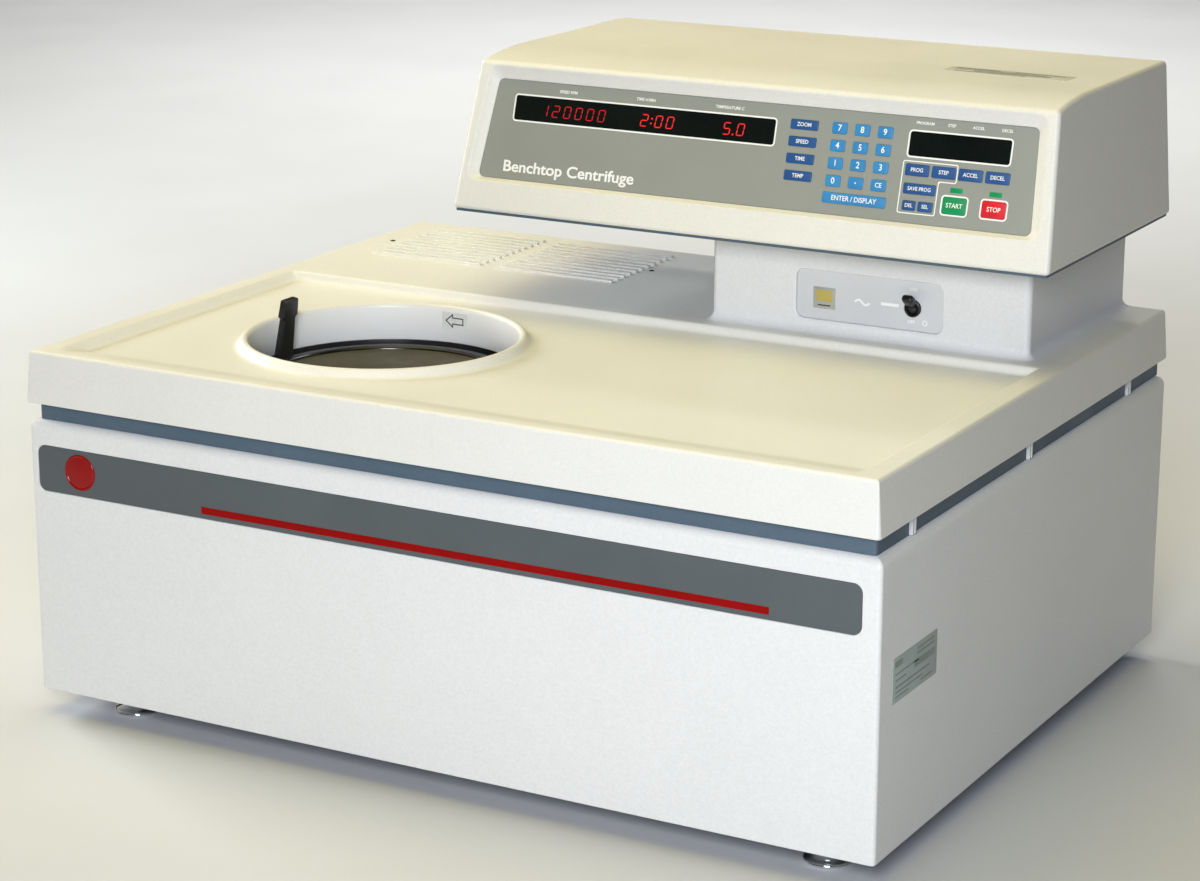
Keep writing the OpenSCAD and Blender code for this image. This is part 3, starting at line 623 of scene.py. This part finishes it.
def top_cover():
    w, d, draft, lip = 718.4, 566.8, 3.0, 2.8
    height = COVER_HI - COVER_LO
    pairs = [(1.2, COVER_LO), (0.35, COVER_LO + 0.35), (0.1, COVER_LO + 1.2)]
    side = COVER_HI - lip
    pairs.append((draft * (side - COVER_LO) / height, side))
    pairs += [(draft + lip - lip * math.cos(math.radians(a)), side + lip * math.sin(math.radians(a)))
              for a in (15, 30, 45, 60, 75, 90)]
    bm = bmesh.new()
    loops = add_rings(bm, levels_of(pairs, w, d, 3.4), caps=False)
    half_x, half_y = w / 2 - 7.5, d / 2 - 7.5
    xs = lines_of(-half_x, half_x, [(-342, -331, 1.1), (330, 340, 1.25)])
    ys = lines_of(-half_y, half_y, [(-271, -237, 3.0), (44.6, 52.8, 0.4)])
    grid = [[bm.verts.new(Vector((x, y, tray_height(x, y))) * MM) for x in xs] for y in ys]
    for j in range(len(ys) - 1):
        for i in range(len(xs) - 1):
            bm.faces.new((grid[j][i], grid[j][i + 1], grid[j + 1][i + 1], grid[j + 1][i]))
    rim = grid[0] + [row[-1] for row in grid[1:]] + grid[-1][-2::-1] + [row[0] for row in grid[-2:0:-1]]
    around = [bm.edges.get((rim[i], rim[(i + 1) % len(rim)])) for i in range(len(rim))]
    outer = [bm.edges.get((loops[-1][i], loops[-1][(i + 1) % len(loops[-1])])) for i in range(len(loops[-1]))]
    bmesh.ops.bridge_loops(bm, edges=around + outer)
    # hollow underside, deeper below the rear deck
    inner = [[Vector((x, y, z)) * MM for x, y in rect(w - 2 * e, d - 2 * e)]
             for e, z in ((4.0, COVER_LO), (5.0, 283.0))]
    base = [bm.verts.new(p) for p in inner[0]]
    roof = [bm.verts.new(p) for p in inner[1]]
    for i in range(4):
        bm.faces.new((base[i], roof[i], roof[(i + 1) % 4], base[(i + 1) % 4]))
    bm.faces.new(roof)
    low = [bm.edges.get((loops[0][i], loops[0][(i + 1) % len(loops[0])])) for i in range(len(loops[0]))]
    bmesh.ops.bridge_loops(bm, edges=low + [bm.edges.get((base[i], base[(i + 1) % 4])) for i in range(4)])
    ob = solid("top_cover_shell", bm, "shell_cream")
    bm = bmesh.new()
    lathe_into(bm, [(0, 270), (112.5, 270), (112.5, 310), (0, 310)], flat(*AXIS), 128)
    hole = solid("hole", bm, "shell_cream")
    bm = bmesh.new()
    box_into(bm, (-349, 62, 280), (349, 273, 291.2), flat())
    well = solid("well", bm, "shell_cream")
    bm = bmesh.new()
    for cx, y, wide in louvres():
        plate_into(bm, rect(wide, 3.2, cx, y + 6.5), 0.8, 286, 300, 0.05, flat(), steps=3, edge_steps=1)
    slots = solid("slots", bm, "shell_cream")
    carve(ob, hole, well, slots)
    ready(ob, "frame", ("top_cover",), 28)
    bm = bmesh.new()
    for cx, y, wide in louvres():
        plate_into(bm, rect(wide, 5.0, cx, y + 2.5), 0.6, COVER_HI - 1.0, COVER_HI + 1.8, 0.5, flat(),
                   steps=3)
    ready(solid("louvre_ribs", bm, "shell_cream"), "frame")


def louvres():
    """Centre, front edge and width of every louvre."""
    for x0, x1, y0, y1 in VENTS:
        for i in range(VENT_SLOTS):
            yield (x0 + x1) / 2, y0 + i * (y1 - y0) / VENT_SLOTS, x1 - x0


def collar():
    r = OPEN_R
    lip = arc(r + 3.4, COVER_HI - 3.4, 3.4, 180, 35, 8)
    foot = [(r + 8.0, 290.6), (r + 9.0, 289.3), (r + 10.6, 288.6), (r + 12.6, TRAY_Z + 0.03),
            (r + 12.6, 286.0),
            (r + 4, 286.0), (r + 4, 265.0), (r + 0.6, 265.0), (r, 265.6)]
    bm = bmesh.new()
    lathe_into(bm, lip + foot, flat(*AXIS), 144)
    ob = solid("opening_collar_ring", bm, "shell_cream", "liner_white")
    # the inner wall faces take liner_white, a whiter copy of the shell finish: partly the liner's own paler
    # tone, partly painted sheen that brightens the wall
    for f in ob.data.polygons:
        c = f.center / MM
        if math.hypot(c.x - AXIS[0], c.y - AXIS[1]) < r + 0.3:
            f.material_index = 1
    ready(ob, "frame", ("opening_collar",), 50, False)
    # direction label on the inner wall: an outlined arrow on a clear film
    bm = bmesh.new()
    rr = r - 0.12

    def wrap(u, z):
        a = math.radians(89.0) - u / r
        return Vector((AXIS[0] + rr * math.cos(a), AXIS[1] + rr * math.sin(a), z)) * MM

    def inward(p, t):
        c = Vector((AXIS[0] * MM, AXIS[1] * MM, p.z))
        return p + (c - p).normalized() * t * MM

    def film(points, thick, mat):
        back = [wrap(*p) for p in points]
        add_rings(bm, [back, [inward(p, thick) for p in back]], mat=mat)

    along = (-14, -10, -6, -2, 2, 6, 10)
    film([(u, 276.4) for u in along] + [(u, 290.4) for u in along[::-1]],
         0.12, 0)
    arrow = [(-10.6, 283.4), (-4.6, 288.6), (-4.6, 285.9), (5.4, 285.9), (5.4, 280.9), (-4.6, 280.9),
             (-4.6, 278.2)]
    for i in range(7):
        a, b = Vector(arrow[i]), Vector(arrow[(i + 1) % 7])
        n = Vector((b.y - a.y, a.x - b.x)).normalized() * 0.45
        d = (b - a).normalized() * 0.45
        strip = [a - d + n, b + d + n, b + d - n, a - d - n]
        film([(p.x, p.y) for p in strip], 0.22, 1)
    ready(solid("direction_label", bm, "label_film", "print_dark"), "frame", (), 30, False)


def vent_caps():
    for name, x, y in (("vent_cap_left", -331.0, 193.5), ("vent_cap_right", -73.0, 200.0)):
        bm = bmesh.new()
        lathe_into(bm, [(0, -1), (2.3, -1), (2.3, 0.25), (1.9, 0.5), (0.9, 0.55), (0.9, 0.2), (0, 0.2)],
                   flat(x, y, COVER_HI), 32)
        ready(solid(name, bm, "black_plastic"), "frame", (), 40, False)


# ---------------------------------------------------------------- pedestal and mains switch

def pedestal():
    w, d = 270.0, 209.0
    cx, cy = 186.5, 174.5
    foot_r = 7.0
    pairs = [(-foot_r * (1 - math.sin(math.radians(a))),
              COVER_HI - 0.15 + foot_r * (1 - math.cos(math.radians(a))))
             for a in (0, 15, 30, 45, 60, 75, 90)]
    pairs += [(0.0, 369.5), (0.4, 371.0), (1.6, 372.0)]
    rings = []
    for e, z in pairs:
        ring = round_poly(rect(w - 2 * e, d - 2 * e, cx, cy), max(5.0 - e, 1.5), 6)
        rings.append([Vector((x, min(y, 279.0), z)) * MM for x, y in ring])
    bm = bmesh.new()
    add_rings(bm, rings)
    ob = solid("pedestal_shell", bm, "shell_white")
    bm = bmesh.new()
    sx, sz, sw, sh = SWITCH
    lower = rect(sw, sh)
    levels = [(0.0, -2.5), (0.0, -0.8), (0.35, -0.25), (1.2, 0.0), (1.6, 3.0)]
    rings = [[front(sx, 70, sz) @ Vector((x, y, z)) for x, y in round_poly(offset_poly(lower, e), 7.0 + e, 8)]
             for e, z in levels]
    add_rings(bm, rings)
    pocket = solid("pocket", bm, "shell_white")
    bm = bmesh.new()
    lathe_into(bm, [(0, -12), (7.5, -12), (7.5, 3), (0, 3)], front(TOGGLE[0], 70, TOGGLE[2]), 48)
    well = solid("well", bm, "shell_white")
    carve(ob, pocket, well)
    ready(ob, "frame", ("pedestal",))


def switch_panel():
    sx, sz, sw, sh = SWITCH
    place = front(sx, 70, sz)
    bm = bmesh.new()
    plate_into(bm, rect(sw - 0.5, sh - 0.5), 6.8, -3.9, -1.5, 0.4, place, steps=8)
    ob = solid("switch_plate", bm, "switch_grey")
    bm = bmesh.new()
    lathe_into(bm, [(0, -12), (6.9, -12), (6.9, 6), (0, 6)], front(TOGGLE[0], 70, TOGGLE[2]), 48)
    carve(ob, solid("cut", bm, "switch_grey"))
    ready(ob, "frame", ("switch_panel",))
    top = -1.5
    # plain blank label, alternating-current mark, bars and ring
    bm = bmesh.new()
    plate_into(bm, rect(19.0, 17.2, 149.6 - sx, 323.4 - sz), 0.6, top, top + 0.2, 0.1, place, 0)
    plate_into(bm, rect(14.0, 8.8, 149.6 - sx, 325.2 - sz), 0.8, top + 0.15, top + 0.32, 0.1, place, 1)
    plate_into(bm, rect(11.0, 1.0, 149.6 - sx, 317.6 - sz), 0.2, top + 0.15, top + 0.3, 0.05, place, 2)
    ready(solid("switch_label", bm, "label_silver", "label_yellow", "print_dark"), "frame", (), 30,
          False)
    bm = bmesh.new()
    # alternating-current mark: one ribbon, so that nothing overlaps in its plane
    steps, length, height, half = 24, 12.4, 1.9, 0.8
    wave = [Vector((182.0 - length / 2 + length * i / steps - sx,
                    323.6 - sz + height * math.sin(2 * math.pi * i / steps))) for i in range(steps + 1)]
    ends = [wave[max(i - 1, 0)] - wave[min(i + 1, steps)] for i in range(steps + 1)]
    sides = [Vector((d.y, -d.x)).normalized() * half for d in ends]
    ribbon = [p - n for p, n in zip(wave, sides)] + [p + n for p, n in zip(wave[::-1], sides[::-1])]
    add_rings(bm, [[place @ Vector((p.x, p.y, z)) for p in ribbon] for z in (top - 0.1, top + 0.25)])
    plate_into(bm, rect(15.0, 2.4, 205.5 - sx, 324.6 - sz), 0.3, top - 0.1, top + 0.2, 0.05, place)
    text_into(bm, "OFF", 3.6, place, 223.6 - sx, 312.9 - sz, top + 0.03, bold=0.08)
    text_into(bm, "ON", 3.6, place, 225.0 - sx, 338.6 - sz, top + 0.03, bold=0.08)
    ring = [(2.2, -0.1), (2.2, 0.1), (1.4, 0.1), (1.4, -0.1)]
    lathe_into(bm, ring, front(235.2, 70 - top, 313.1), 32)
    ready(solid("switch_marks", bm, "print_white"), "frame", (), 30, False)
    bm = bmesh.new()
    ring_into(bm, rect(sw + 2.6, sh + 2.6), 8.2, 0.9, -0.15, 0.3, 0, place)
    ready(solid("switch_surround", bm, "shell_white"), "frame", (), 30, False)


def toggle():
    x, y, z = TOGGLE
    bm = bmesh.new()
    bushing = [(5.0, -4.0), (6.8, -4.0), (6.8, 1.9), (6.5, 2.3), (5.9, 2.5), (5.4, 2.2), (5.0, 1.6)]
    lathe_into(bm, bushing, front(x, 70 + 1.5, z), 48)
    ready(solid("switch_bushing", bm, "black_plastic"), "frame", (), 40, False)
    bm = bmesh.new()
    ball = [(4.8 * math.sin(math.radians(a)), -4.8 * math.cos(math.radians(a))) for a in range(0, 181, 12)]
    ball[0], ball[-1] = (0.0, -4.8), (0.0, 4.8)
    lathe_into(bm, ball, front(x, y, z), 40)
    tilt = Matrix.Translation((x * MM, y * MM, z * MM)) @ Matrix.Rotation(math.radians(-38), 4, "X") \
        @ Matrix.Rotation(math.pi / 2, 4, "X") @ Matrix.Scale(MM, 4)
    rings = []
    for t, w, h in ((1.0, 5.6, 4.8), (4.5, 6.4, 4.8), (7.5, 8.4, 5.2), (10.0, 9.6, 5.8), (14.5, 9.6, 6.0),
                    (16.6, 9.2, 5.6), (17.6, 8.0, 4.4), (18.0, 6.2, 3.0)):
        ring = round_poly(rect(w, h), min(w, h) * 0.42, 4)
        rings.append([tilt @ Vector((p[0], p[1], t)) for p in ring])
    add_rings(bm, rings)
    ready(solid("switch_toggle", bm, "black_plastic"), "switch_lever", ("power_switch",),
          40, False)


# ---------------------------------------------------------------- console

def face_point(v, h):
    a = math.radians(TILT)
    return (FACE_Y + v * math.sin(a) - h * math.cos(a), FACE_Z + v * math.cos(a) + h * math.sin(a))


def console():
    draft = 9.0
    y0, z0 = face_point(0, 0)
    y1, z1 = face_point(FACE_LEN, 0)
    outline = [(y0, z0), (CON_BACK, z0), (CON_BACK, CON_TOP), (y1 + 52, CON_TOP),
               (y1 + 22, CON_TOP - 2.2), (y1, z1)]
    bm = bmesh.new()
    ends = []
    for sign, edge in ((-1, CON_L), (1, CON_R)):
        ring = []
        for y, z in outline:
            lean = draft * (z - z0) / (CON_TOP - z0)
            ring.append(Vector((edge - sign * lean, y, z)) * MM)
        ends.append(ring)
    add_rings(bm, ends)
    ob = solid("console_shell", bm, "shell_cream")
    bevel = ob.modifiers.new("bevel", "BEVEL")
    bevel.width = 3.6 * MM
    bevel.segments = 5
    bevel.limit_method = "ANGLE"
    bevel.angle_limit = math.radians(12)
    bevel.use_clamp_overlap = True
    baked(ob)
    # recess with sloping walls and rounded lips
    floor_out = offset_poly(PANEL, 0.25)
    runs = [3.3, 8.2, 9.0, 7.0]
    levels = [(0.0, -RECESS - 3.2), (0.0, -RECESS), (0.04, -RECESS + 0.3)]
    levels += [(t, -RECESS + (RECESS - 0.7) * t) for t in (0.25, 0.5, 0.75)]
    levels += [(0.94, -0.62), (1.02, -0.3), (1.12, -0.08), (1.26, 0.06), (1.5, 0.6), (1.9, 6.0)]
    rings = []
    for t, h in levels:
        ring = round_poly(offset_poly(floor_out, [run * t for run in runs]), 5.0 + 3.0 * t, 8)
        rings.append([FACE @ Vector((u, v, h)) for u, v in ring])
    bm = bmesh.new()
    add_rings(bm, rings)
    mouth = solid("mouth", bm, "shell_cream")
    a = math.radians(TILT)
    inside = [(y0 + 17, z0 - 5), (CON_BACK - 4, z0 - 5), (CON_BACK - 4, CON_TOP - 4), (y1 + 50, CON_TOP - 4),
              (y1 + 17, z1 - 4)]
    bm = bmesh.new()
    add_rings(bm, [[Vector((x, y, z)) * MM for y, z in inside] for x in (CON_L + 13, CON_R - 13)])
    hollow = solid("hollow", bm, "shell_cream")
    carve(ob, mouth, hollow)
    ready(ob, "frame", ("console_housing",), 24)


def keys_table():
    """Each key: name, across, up, width, height, finish, legend, legend size."""
    out = []
    for i, name in enumerate(("zoom", "speed", "time", "temp")):
        out.append((name, 141.0, 94.4 - i * 13.1, 23.4, 7.6, "key_dark", name.upper(), 4.3))
    numbers = ("7", "8", "9", "4", "5", "6", "1", "2", "3", "0", "point", "clear")
    for i, name in enumerate(numbers):
        legend = {"point": ".", "clear": "CE"}.get(name, name)
        size = {"point": 9.0, "clear": 5.0}.get(name, 6.8)
        out.append((name, 170.8 + (i % 3) * 18.9, 94.4 - (i // 3) * 13.45, 12.4, 8.6, "key_light", legend,
                    size))
    out.append(("enter", 190.0, 41.3, 52.6, 8.2, "key_light", "ENTER / DISPLAY", 5.4))
    for i, (name, legend) in enumerate((("program", "PROG"), ("step", "STEP"), ("accel", "ACCEL"),
                                        ("decel", "DECEL"))):
        out.append((name, 238.4 + i * 21.6, 68.5, 19.4, 8.8, "key_dark", legend, 4.2))
    out += [("save", 242.2, 54.4, 26.2, 8.0, "key_dark", "SAVE PROG", 4.0),
            ("delete", 235.4, 41.6, 10.8, 7.4, "key_dark", "DEL", 4.0),
            ("select", 248.6, 41.6, 12.0, 7.4, "key_dark", "SEL", 4.0),
            ("start", *START_KEY, 19.2, 12.8, "key_green", "START", 4.9),
            ("stop", *STOP_KEY, 19.4, 12.6, "key_red", "STOP", 5.0)]
    return out


def control_panel():
    bm = bmesh.new()
    plate_into(bm, PANEL, 5.0, -RECESS - 3.0, -RECESS, 0.2, FACE, steps=8)
    ob = solid("control_face", bm, "panel_grey")
    bm = bmesh.new()
    for name, u, v, w, h, *rest in keys_table():
        plate_into(bm, rect(w + 0.3, h + 0.3, u, v), 1.3, -RECESS - 5, -RECESS + 2, 0.05, FACE,
                   steps=3, edge_steps=1)
    for u, v, w, h in (LEFT_WINDOW, RIGHT_WINDOW):
        plate_into(bm, rect(w, h, u, v), 2.0, -RECESS - 5, -RECESS + 2, 0.05, FACE, steps=4, edge_steps=1)
    carve(ob, solid("cut", bm, "panel_grey"))
    ready(ob, "frame", ("control_panel",))


def ring_into(bm, outline, radius, width, z0, z1, mat=0, place=FACE):
    """A raised printed border round an outline."""
    outer = round_poly(offset_poly(outline, width), radius + width, 5)
    inner = round_poly(outline, radius, 5)
    rings = [[place @ Vector((u, v, h)) for u, v in ring]
             for ring, h in ((outer, z0), (outer, z1), (inner, z1), (inner, z0))]
    add_rings(bm, rings, closed=True, mat=mat)


def windows():
    for name, (u, v, w, h) in (("speed_window", LEFT_WINDOW), ("program_window", RIGHT_WINDOW)):
        bm = bmesh.new()
        plate_into(bm, rect(w - 0.1, h - 0.1, u, v), 2.0, -RECESS - 2.8, -RECESS - 0.45, 0.15, FACE)
        ob = solid(name, bm, "window")
        ready(ob, "frame", ("display_windows",) if name == "speed_window" else ())
    top = -RECESS
    bm = bmesh.new()
    for u, v, w, h in (LEFT_WINDOW, RIGHT_WINDOW):
        ring_into(bm, rect(w - 0.3, h - 0.3, u, v), 2.0, 1.25, top - 0.2, top + 0.12)
    for u, v in (START_KEY, STOP_KEY):
        ring_into(bm, rect(19.7, 13.2, u, v), 1.8, 1.2, top - 0.2, top + 0.12)
    # outline round the programming keys
    path = [(226.2, 35.4, 1.8), (257.2, 35.4, 1.8), (257.2, 61.0, 1.8), (271.2, 61.0, 1.8),
            (271.2, 75.4, 1.8), (226.2, 75.4, 1.8)]
    inner = [(x + dx, y + dy, 1.1) for (x, y, r), (dx, dy) in
             zip(path, ((0.8, 0.8), (-0.8, 0.8), (-0.8, 0.8), (-0.8, 0.8), (-0.8, -0.8), (0.8, -0.8)))]
    outer_ring, inner_ring = round_path(path), round_path(inner)
    add_rings(bm, [[FACE @ Vector((x, y, h)) for x, y in ring] for ring, h in
                   ((outer_ring, top - 0.1), (outer_ring, top + 0.1), (inner_ring, top + 0.1),
                    (inner_ring, top - 0.1))], closed=True)
    for words, u, v, size in (("SPEED RPM", -68.0, 102.0, 3.3), ("TIME H:MIN", 2.0, 102.0, 3.3),
                              ("TEMPERATURE C", 76.0, 102.0, 3.3), ("PROGRAM", 240.0, 104.0, 3.1),
                              ("STEP", 261.5, 104.0, 3.1), ("ACCEL", 283.0, 104.0, 3.1),
                              ("DECEL", 306.0, 104.0, 3.1)):
        text_into(bm, words, size, FACE, u, v, top + 0.03, bold=0.06)
    text_into(bm, "Benchtop Centrifuge", 12.6, FACE, -59.5, 38.6, top + 0.05, bold=0.25, thick=0.08,
              wide=1.13, curves=6)
    ready(solid("panel_print", bm, "print_white"), "frame", (), 30, False)
    bm = bmesh.new()
    for u in (272.0, 303.4):
        plate_into(bm, rect(10.0, 3.8, u, 56.2), 0.4, top - 0.1, top + 0.12, 0.06, FACE)
    ready(solid("status_marks", bm, "key_green"), "frame", (), 30, False)


SEGMENTS = {"0": "abcdef", "1": "bc", "2": "abged", "5": "afgcd"}


def digit_into(bm, char, u, v, w=5.4, h=9.0, bar=0.85, lean=0.13):
    hw, hh, gap = w / 2, h / 2, 0.22
    ends = {"a": ((-hw, hh), (hw, hh)), "g": ((-hw, 0), (hw, 0)), "d": ((-hw, -hh), (hw, -hh)),
            "f": ((-hw, 0), (-hw, hh)), "b": ((hw, 0), (hw, hh)), "e": ((-hw, -hh), (-hw, 0)),
            "c": ((hw, -hh), (hw, 0))}
    for s in SEGMENTS[char]:
        a, b = Vector(ends[s][0]), Vector(ends[s][1])
        d = (b - a).normalized()
        n = Vector((-d.y, d.x)) * bar / 2
        a, b = a + d * gap, b - d * gap
        c = bar / 2
        pts = [a, a + d * c - n, b - d * c - n, b, b - d * c + n, a + d * c + n]
        pts = [(u + p.x + p.y * lean, v + p.y) for p in pts]
        add_rings(bm, [[FACE @ Vector((x, y, z)) for x, y in pts] for z in (-RECESS - 0.46, -RECESS - 0.36)])


def dot_into(bm, u, v, r=0.75):
    pts = arc(u, v, r, 0, 330, 11)
    add_rings(bm, [[FACE @ Vector((x, y, z)) for x, y in pts] for z in (-RECESS - 0.46, -RECESS - 0.36)])


def digits():
    v = LEFT_WINDOW[1] - 0.6
    bm = bmesh.new()
    for i, char in enumerate("120000"):
        digit_into(bm, char, -88 + 10.4 * i, v)
    ready(solid("speed_digits", bm, "led_red"), "frame", ("led_digits",), 30, False)
    bm = bmesh.new()
    for char, u in (("2", 2.6), ("0", 15.4), ("0", 25.4), ("5", 75.4), ("0", 87.2)):
        digit_into(bm, char, u, v)
    for du, dv in ((9.2, 1.9), (8.7, -1.9), (80.8, -4.3)):
        dot_into(bm, du, v + dv)
    ready(solid("time_digits", bm, "led_bright"), "frame", (), 30, False)


def keypad():
    for name, u, v, w, h, mat, legend, size in keys_table():
        bm = bmesh.new()
        top = -RECESS + 0.5
        plate_into(bm, rect(w, h, u, v), 1.2, -RECESS - 2.2, top, 0.4, FACE, 0, 4, 3)
        text_into(bm, legend, size, FACE, u, v - (0.0 if name != "point" else -2.2), top + 0.02, 1,
                  bold=0.012 * size, thick=0.05, wide=0.92)
        ob = solid("pad_" + name, bm, mat, "print_white")
        ready(ob, "key_" + name + "_body", ("key_" + name,), 30, False)


def labels():
    # rating label on the right-hand side: a plain film with rows of bars in place of its text
    place = (Matrix.Translation((359.7 * MM, -219.5 * MM, 147.0 * MM)) @ Matrix.Rotation(math.pi / 2, 4, "Z")
             @ Matrix.Rotation(math.pi / 2, 4, "X") @ Matrix.Scale(MM, 4))
    bm = bmesh.new()
    plate_into(bm, rect(75, 33), 1.0, -0.05, 0.18, 0.08, place)
    for x, y, w, h in ((-28, 11.2, 13, 4.4), (18, 12.2, 30, 1.6), (18, 8.8, 30, 1.6), (-14, 4.0, 40, 1.2),
                       (16, 2.0, 36, 5.0), (-24, -0.6, 18, 1.2), (-4, -5.6, 58, 1.4), (-10, -9.4, 46, 1.2),
                       (20, -12.6, 20, 1.2), (-22, -12.6, 22, 1.2)):
        plate_into(bm, rect(w, h, x, y), 0.2, 0.1, 0.26, 0.05, place, 1, 2, 1)
    ready(solid("rating_label", bm, "label_blue", "label_bars"), "frame", (), 30, False)
    bm = bmesh.new()
    place = flat(262.0, 158.0, CON_TOP) @ Matrix.Rotation(math.radians(-2.0), 4, "Z")
    plate_into(bm, rect(104, 22.5), 1.2, -0.05, 0.14, 0.06, place)
    for x, y, w, h in ((-28, 6.6, 37, 1.6), (24, 6.6, 42, 1.1), (-8, 2.2, 78, 1.1), (4, -2.2, 65, 1.8),
                       (-13, -6.8, 60, 1.3)):
        plate_into(bm, rect(w, h, x, y), 0.3, 0.08, 0.2, 0.04, place, 1, 2, 1)
    ready(solid("service_label", bm, "label_pale", "print_dark"), "frame", (), 30, False)


# ---------------------------------------------------------------- door and handle

def door():
    bm = bmesh.new()
    rim = [(90.6, 252.4), (103.2, 252.4), (103.9, 253.2), (104.0, 259.6), (103.4, 261.6), (101.6, 262.7),
           (99.0, 263.0), (93.4, 262.9), (91.4, 262.2), (90.6, 261.0)]
    lathe_into(bm, rim, flat(*AXIS), 128)
    ready(solid("door_rim", bm, "door_gloss"), "door", (), 40, False)
    bm = bmesh.new()
    dish = [(0, 252.0), (90.3, 252.0), (90.5, 253.0), (90.5, 260.6), (89.0, 260.2), (82.0, 260.0),
            (40.0, 259.6), (0, 259.5)]
    lathe_into(bm, dish, flat(*AXIS), 128)
    ready(solid("door_dish", bm, "door_metal"), "door", ("chamber_door",), 40, False)


def handle():
    """Upright blade leaning in over the dish, with a wider grip above two notches."""
    across = Matrix(((0, 0, 1, 0), (1, 0, 0, 0), (0, 1, 0, 0), (0, 0, 0, 1)))
    place = flat(HANDLE_X, AXIS[1], 263.0) @ Matrix.Rotation(math.radians(HANDLE_LEAN), 4, "Y") @ across
    outline = [(-9.7, -1.6), (9.7, -1.6), (7.0, 34.8), (9.9, 37.0), (8.5, 50.9), (-8.5, 50.9), (-9.9, 37.0),
               (-7.0, 34.8)]
    bm = bmesh.new()
    plate_into(bm, outline, 1.4, -3.0, 3.0, 0.9, place, steps=4, foot=0.9)
    lathe_into(bm, [(0, -4.5), (3.9, -4.5), (3.9, 0.1), (3.6, 0.4), (0, 0.4)],
               flat(HANDLE_X, AXIS[1], 263.0), 24)
    ready(solid("door_grip", bm, "black_plastic"), "door", ("door_handle",), 36, False)


# ---------------------------------------------------------------- feet and rear

def feet():
    for side, x in FEET_X:
        for end, y in FEET_Y:
            name = "foot_" + end + "_" + side
            bm = bmesh.new()
            profile = [(0, 0), (16.6, 0), (17.4, 0.25), (17.9, 0.9), (18.0, 1.7), (17.7, 2.6), (16.9, 3.3),
                       (15.4, 3.8), (13.6, 4.7), (11.6, 6.2), (10.2, 8.0), (9.4, 9.6), (8.4, 10.6),
                       (6.6, 11.2), (5.2, 11.6), (5.0, 12.4), (5.0, 39.0), (4.2, 40.0), (0, 40.0)]
            lathe_into(bm, profile, flat(x, y), 72)
            ready(solid(name + "_glide", bm, "foot_chrome"), name + "_body", (name,), 35,
                  False)


def screws():
    bm = bmesh.new()
    for x in (-290, -145, 0, 145, 290):
        for z in (53.0, 207.0):
            head = [(0, -0.5), (3.4, -0.5), (3.4, 0.2), (2.9, 0.8), (1.6, 1.2), (1.5, 0.5), (0, 0.5)]
            turn = Matrix.Translation((x * MM, 0.278, z * MM)) @ Matrix.Rotation(-math.pi / 2, 4, "X") \
                @ Matrix.Scale(MM, 4)
            lathe_into(bm, head, turn, 20)
    ready(solid("rear_screws", bm, "spindle_steel"), "frame", (), 40, False)


def cad_finishes():
    slots = {row["node"]: row["material_slot"] for row in frame["record"]["subparts"]}
    for name, ob in NODES.items():
        ob.data.materials.clear()
        ob.data.materials.append(MATERIALS[slots[name]])
    for name in ("support_band", "band_clips", "console_base", "rear_panel", "power_inlet", "door_rails",
                 "chamber_plate", "chamber_bowl", "rotor", "rotor_lid", "drive_spindle", "fan_impeller",
                 "fan_housing", "drive_motor", "armour_ring", "base_plate"):
        soften(NODES[name], 0.4)


def floor():
    bm = bmesh.new()
    bmesh.ops.create_grid(bm, x_segments=24, y_segments=24, size=12.0)
    mesh = bpy.data.meshes.new("floor")
    bm.to_mesh(mesh)
    bm.free()
    ob = bpy.data.objects.new("floor", mesh)
    bpy.context.scene.collection.objects.link(ob)
    mesh.materials.append(FLOOR)


camera()
studio()
floor()
cad_finishes()
cabinet()
nameplate()
top_cover()
collar()
vent_caps()
pedestal()
switch_panel()
toggle()
console()
control_panel()
windows()
digits()
keypad()
labels()
door()
handle()
feet()
screws()
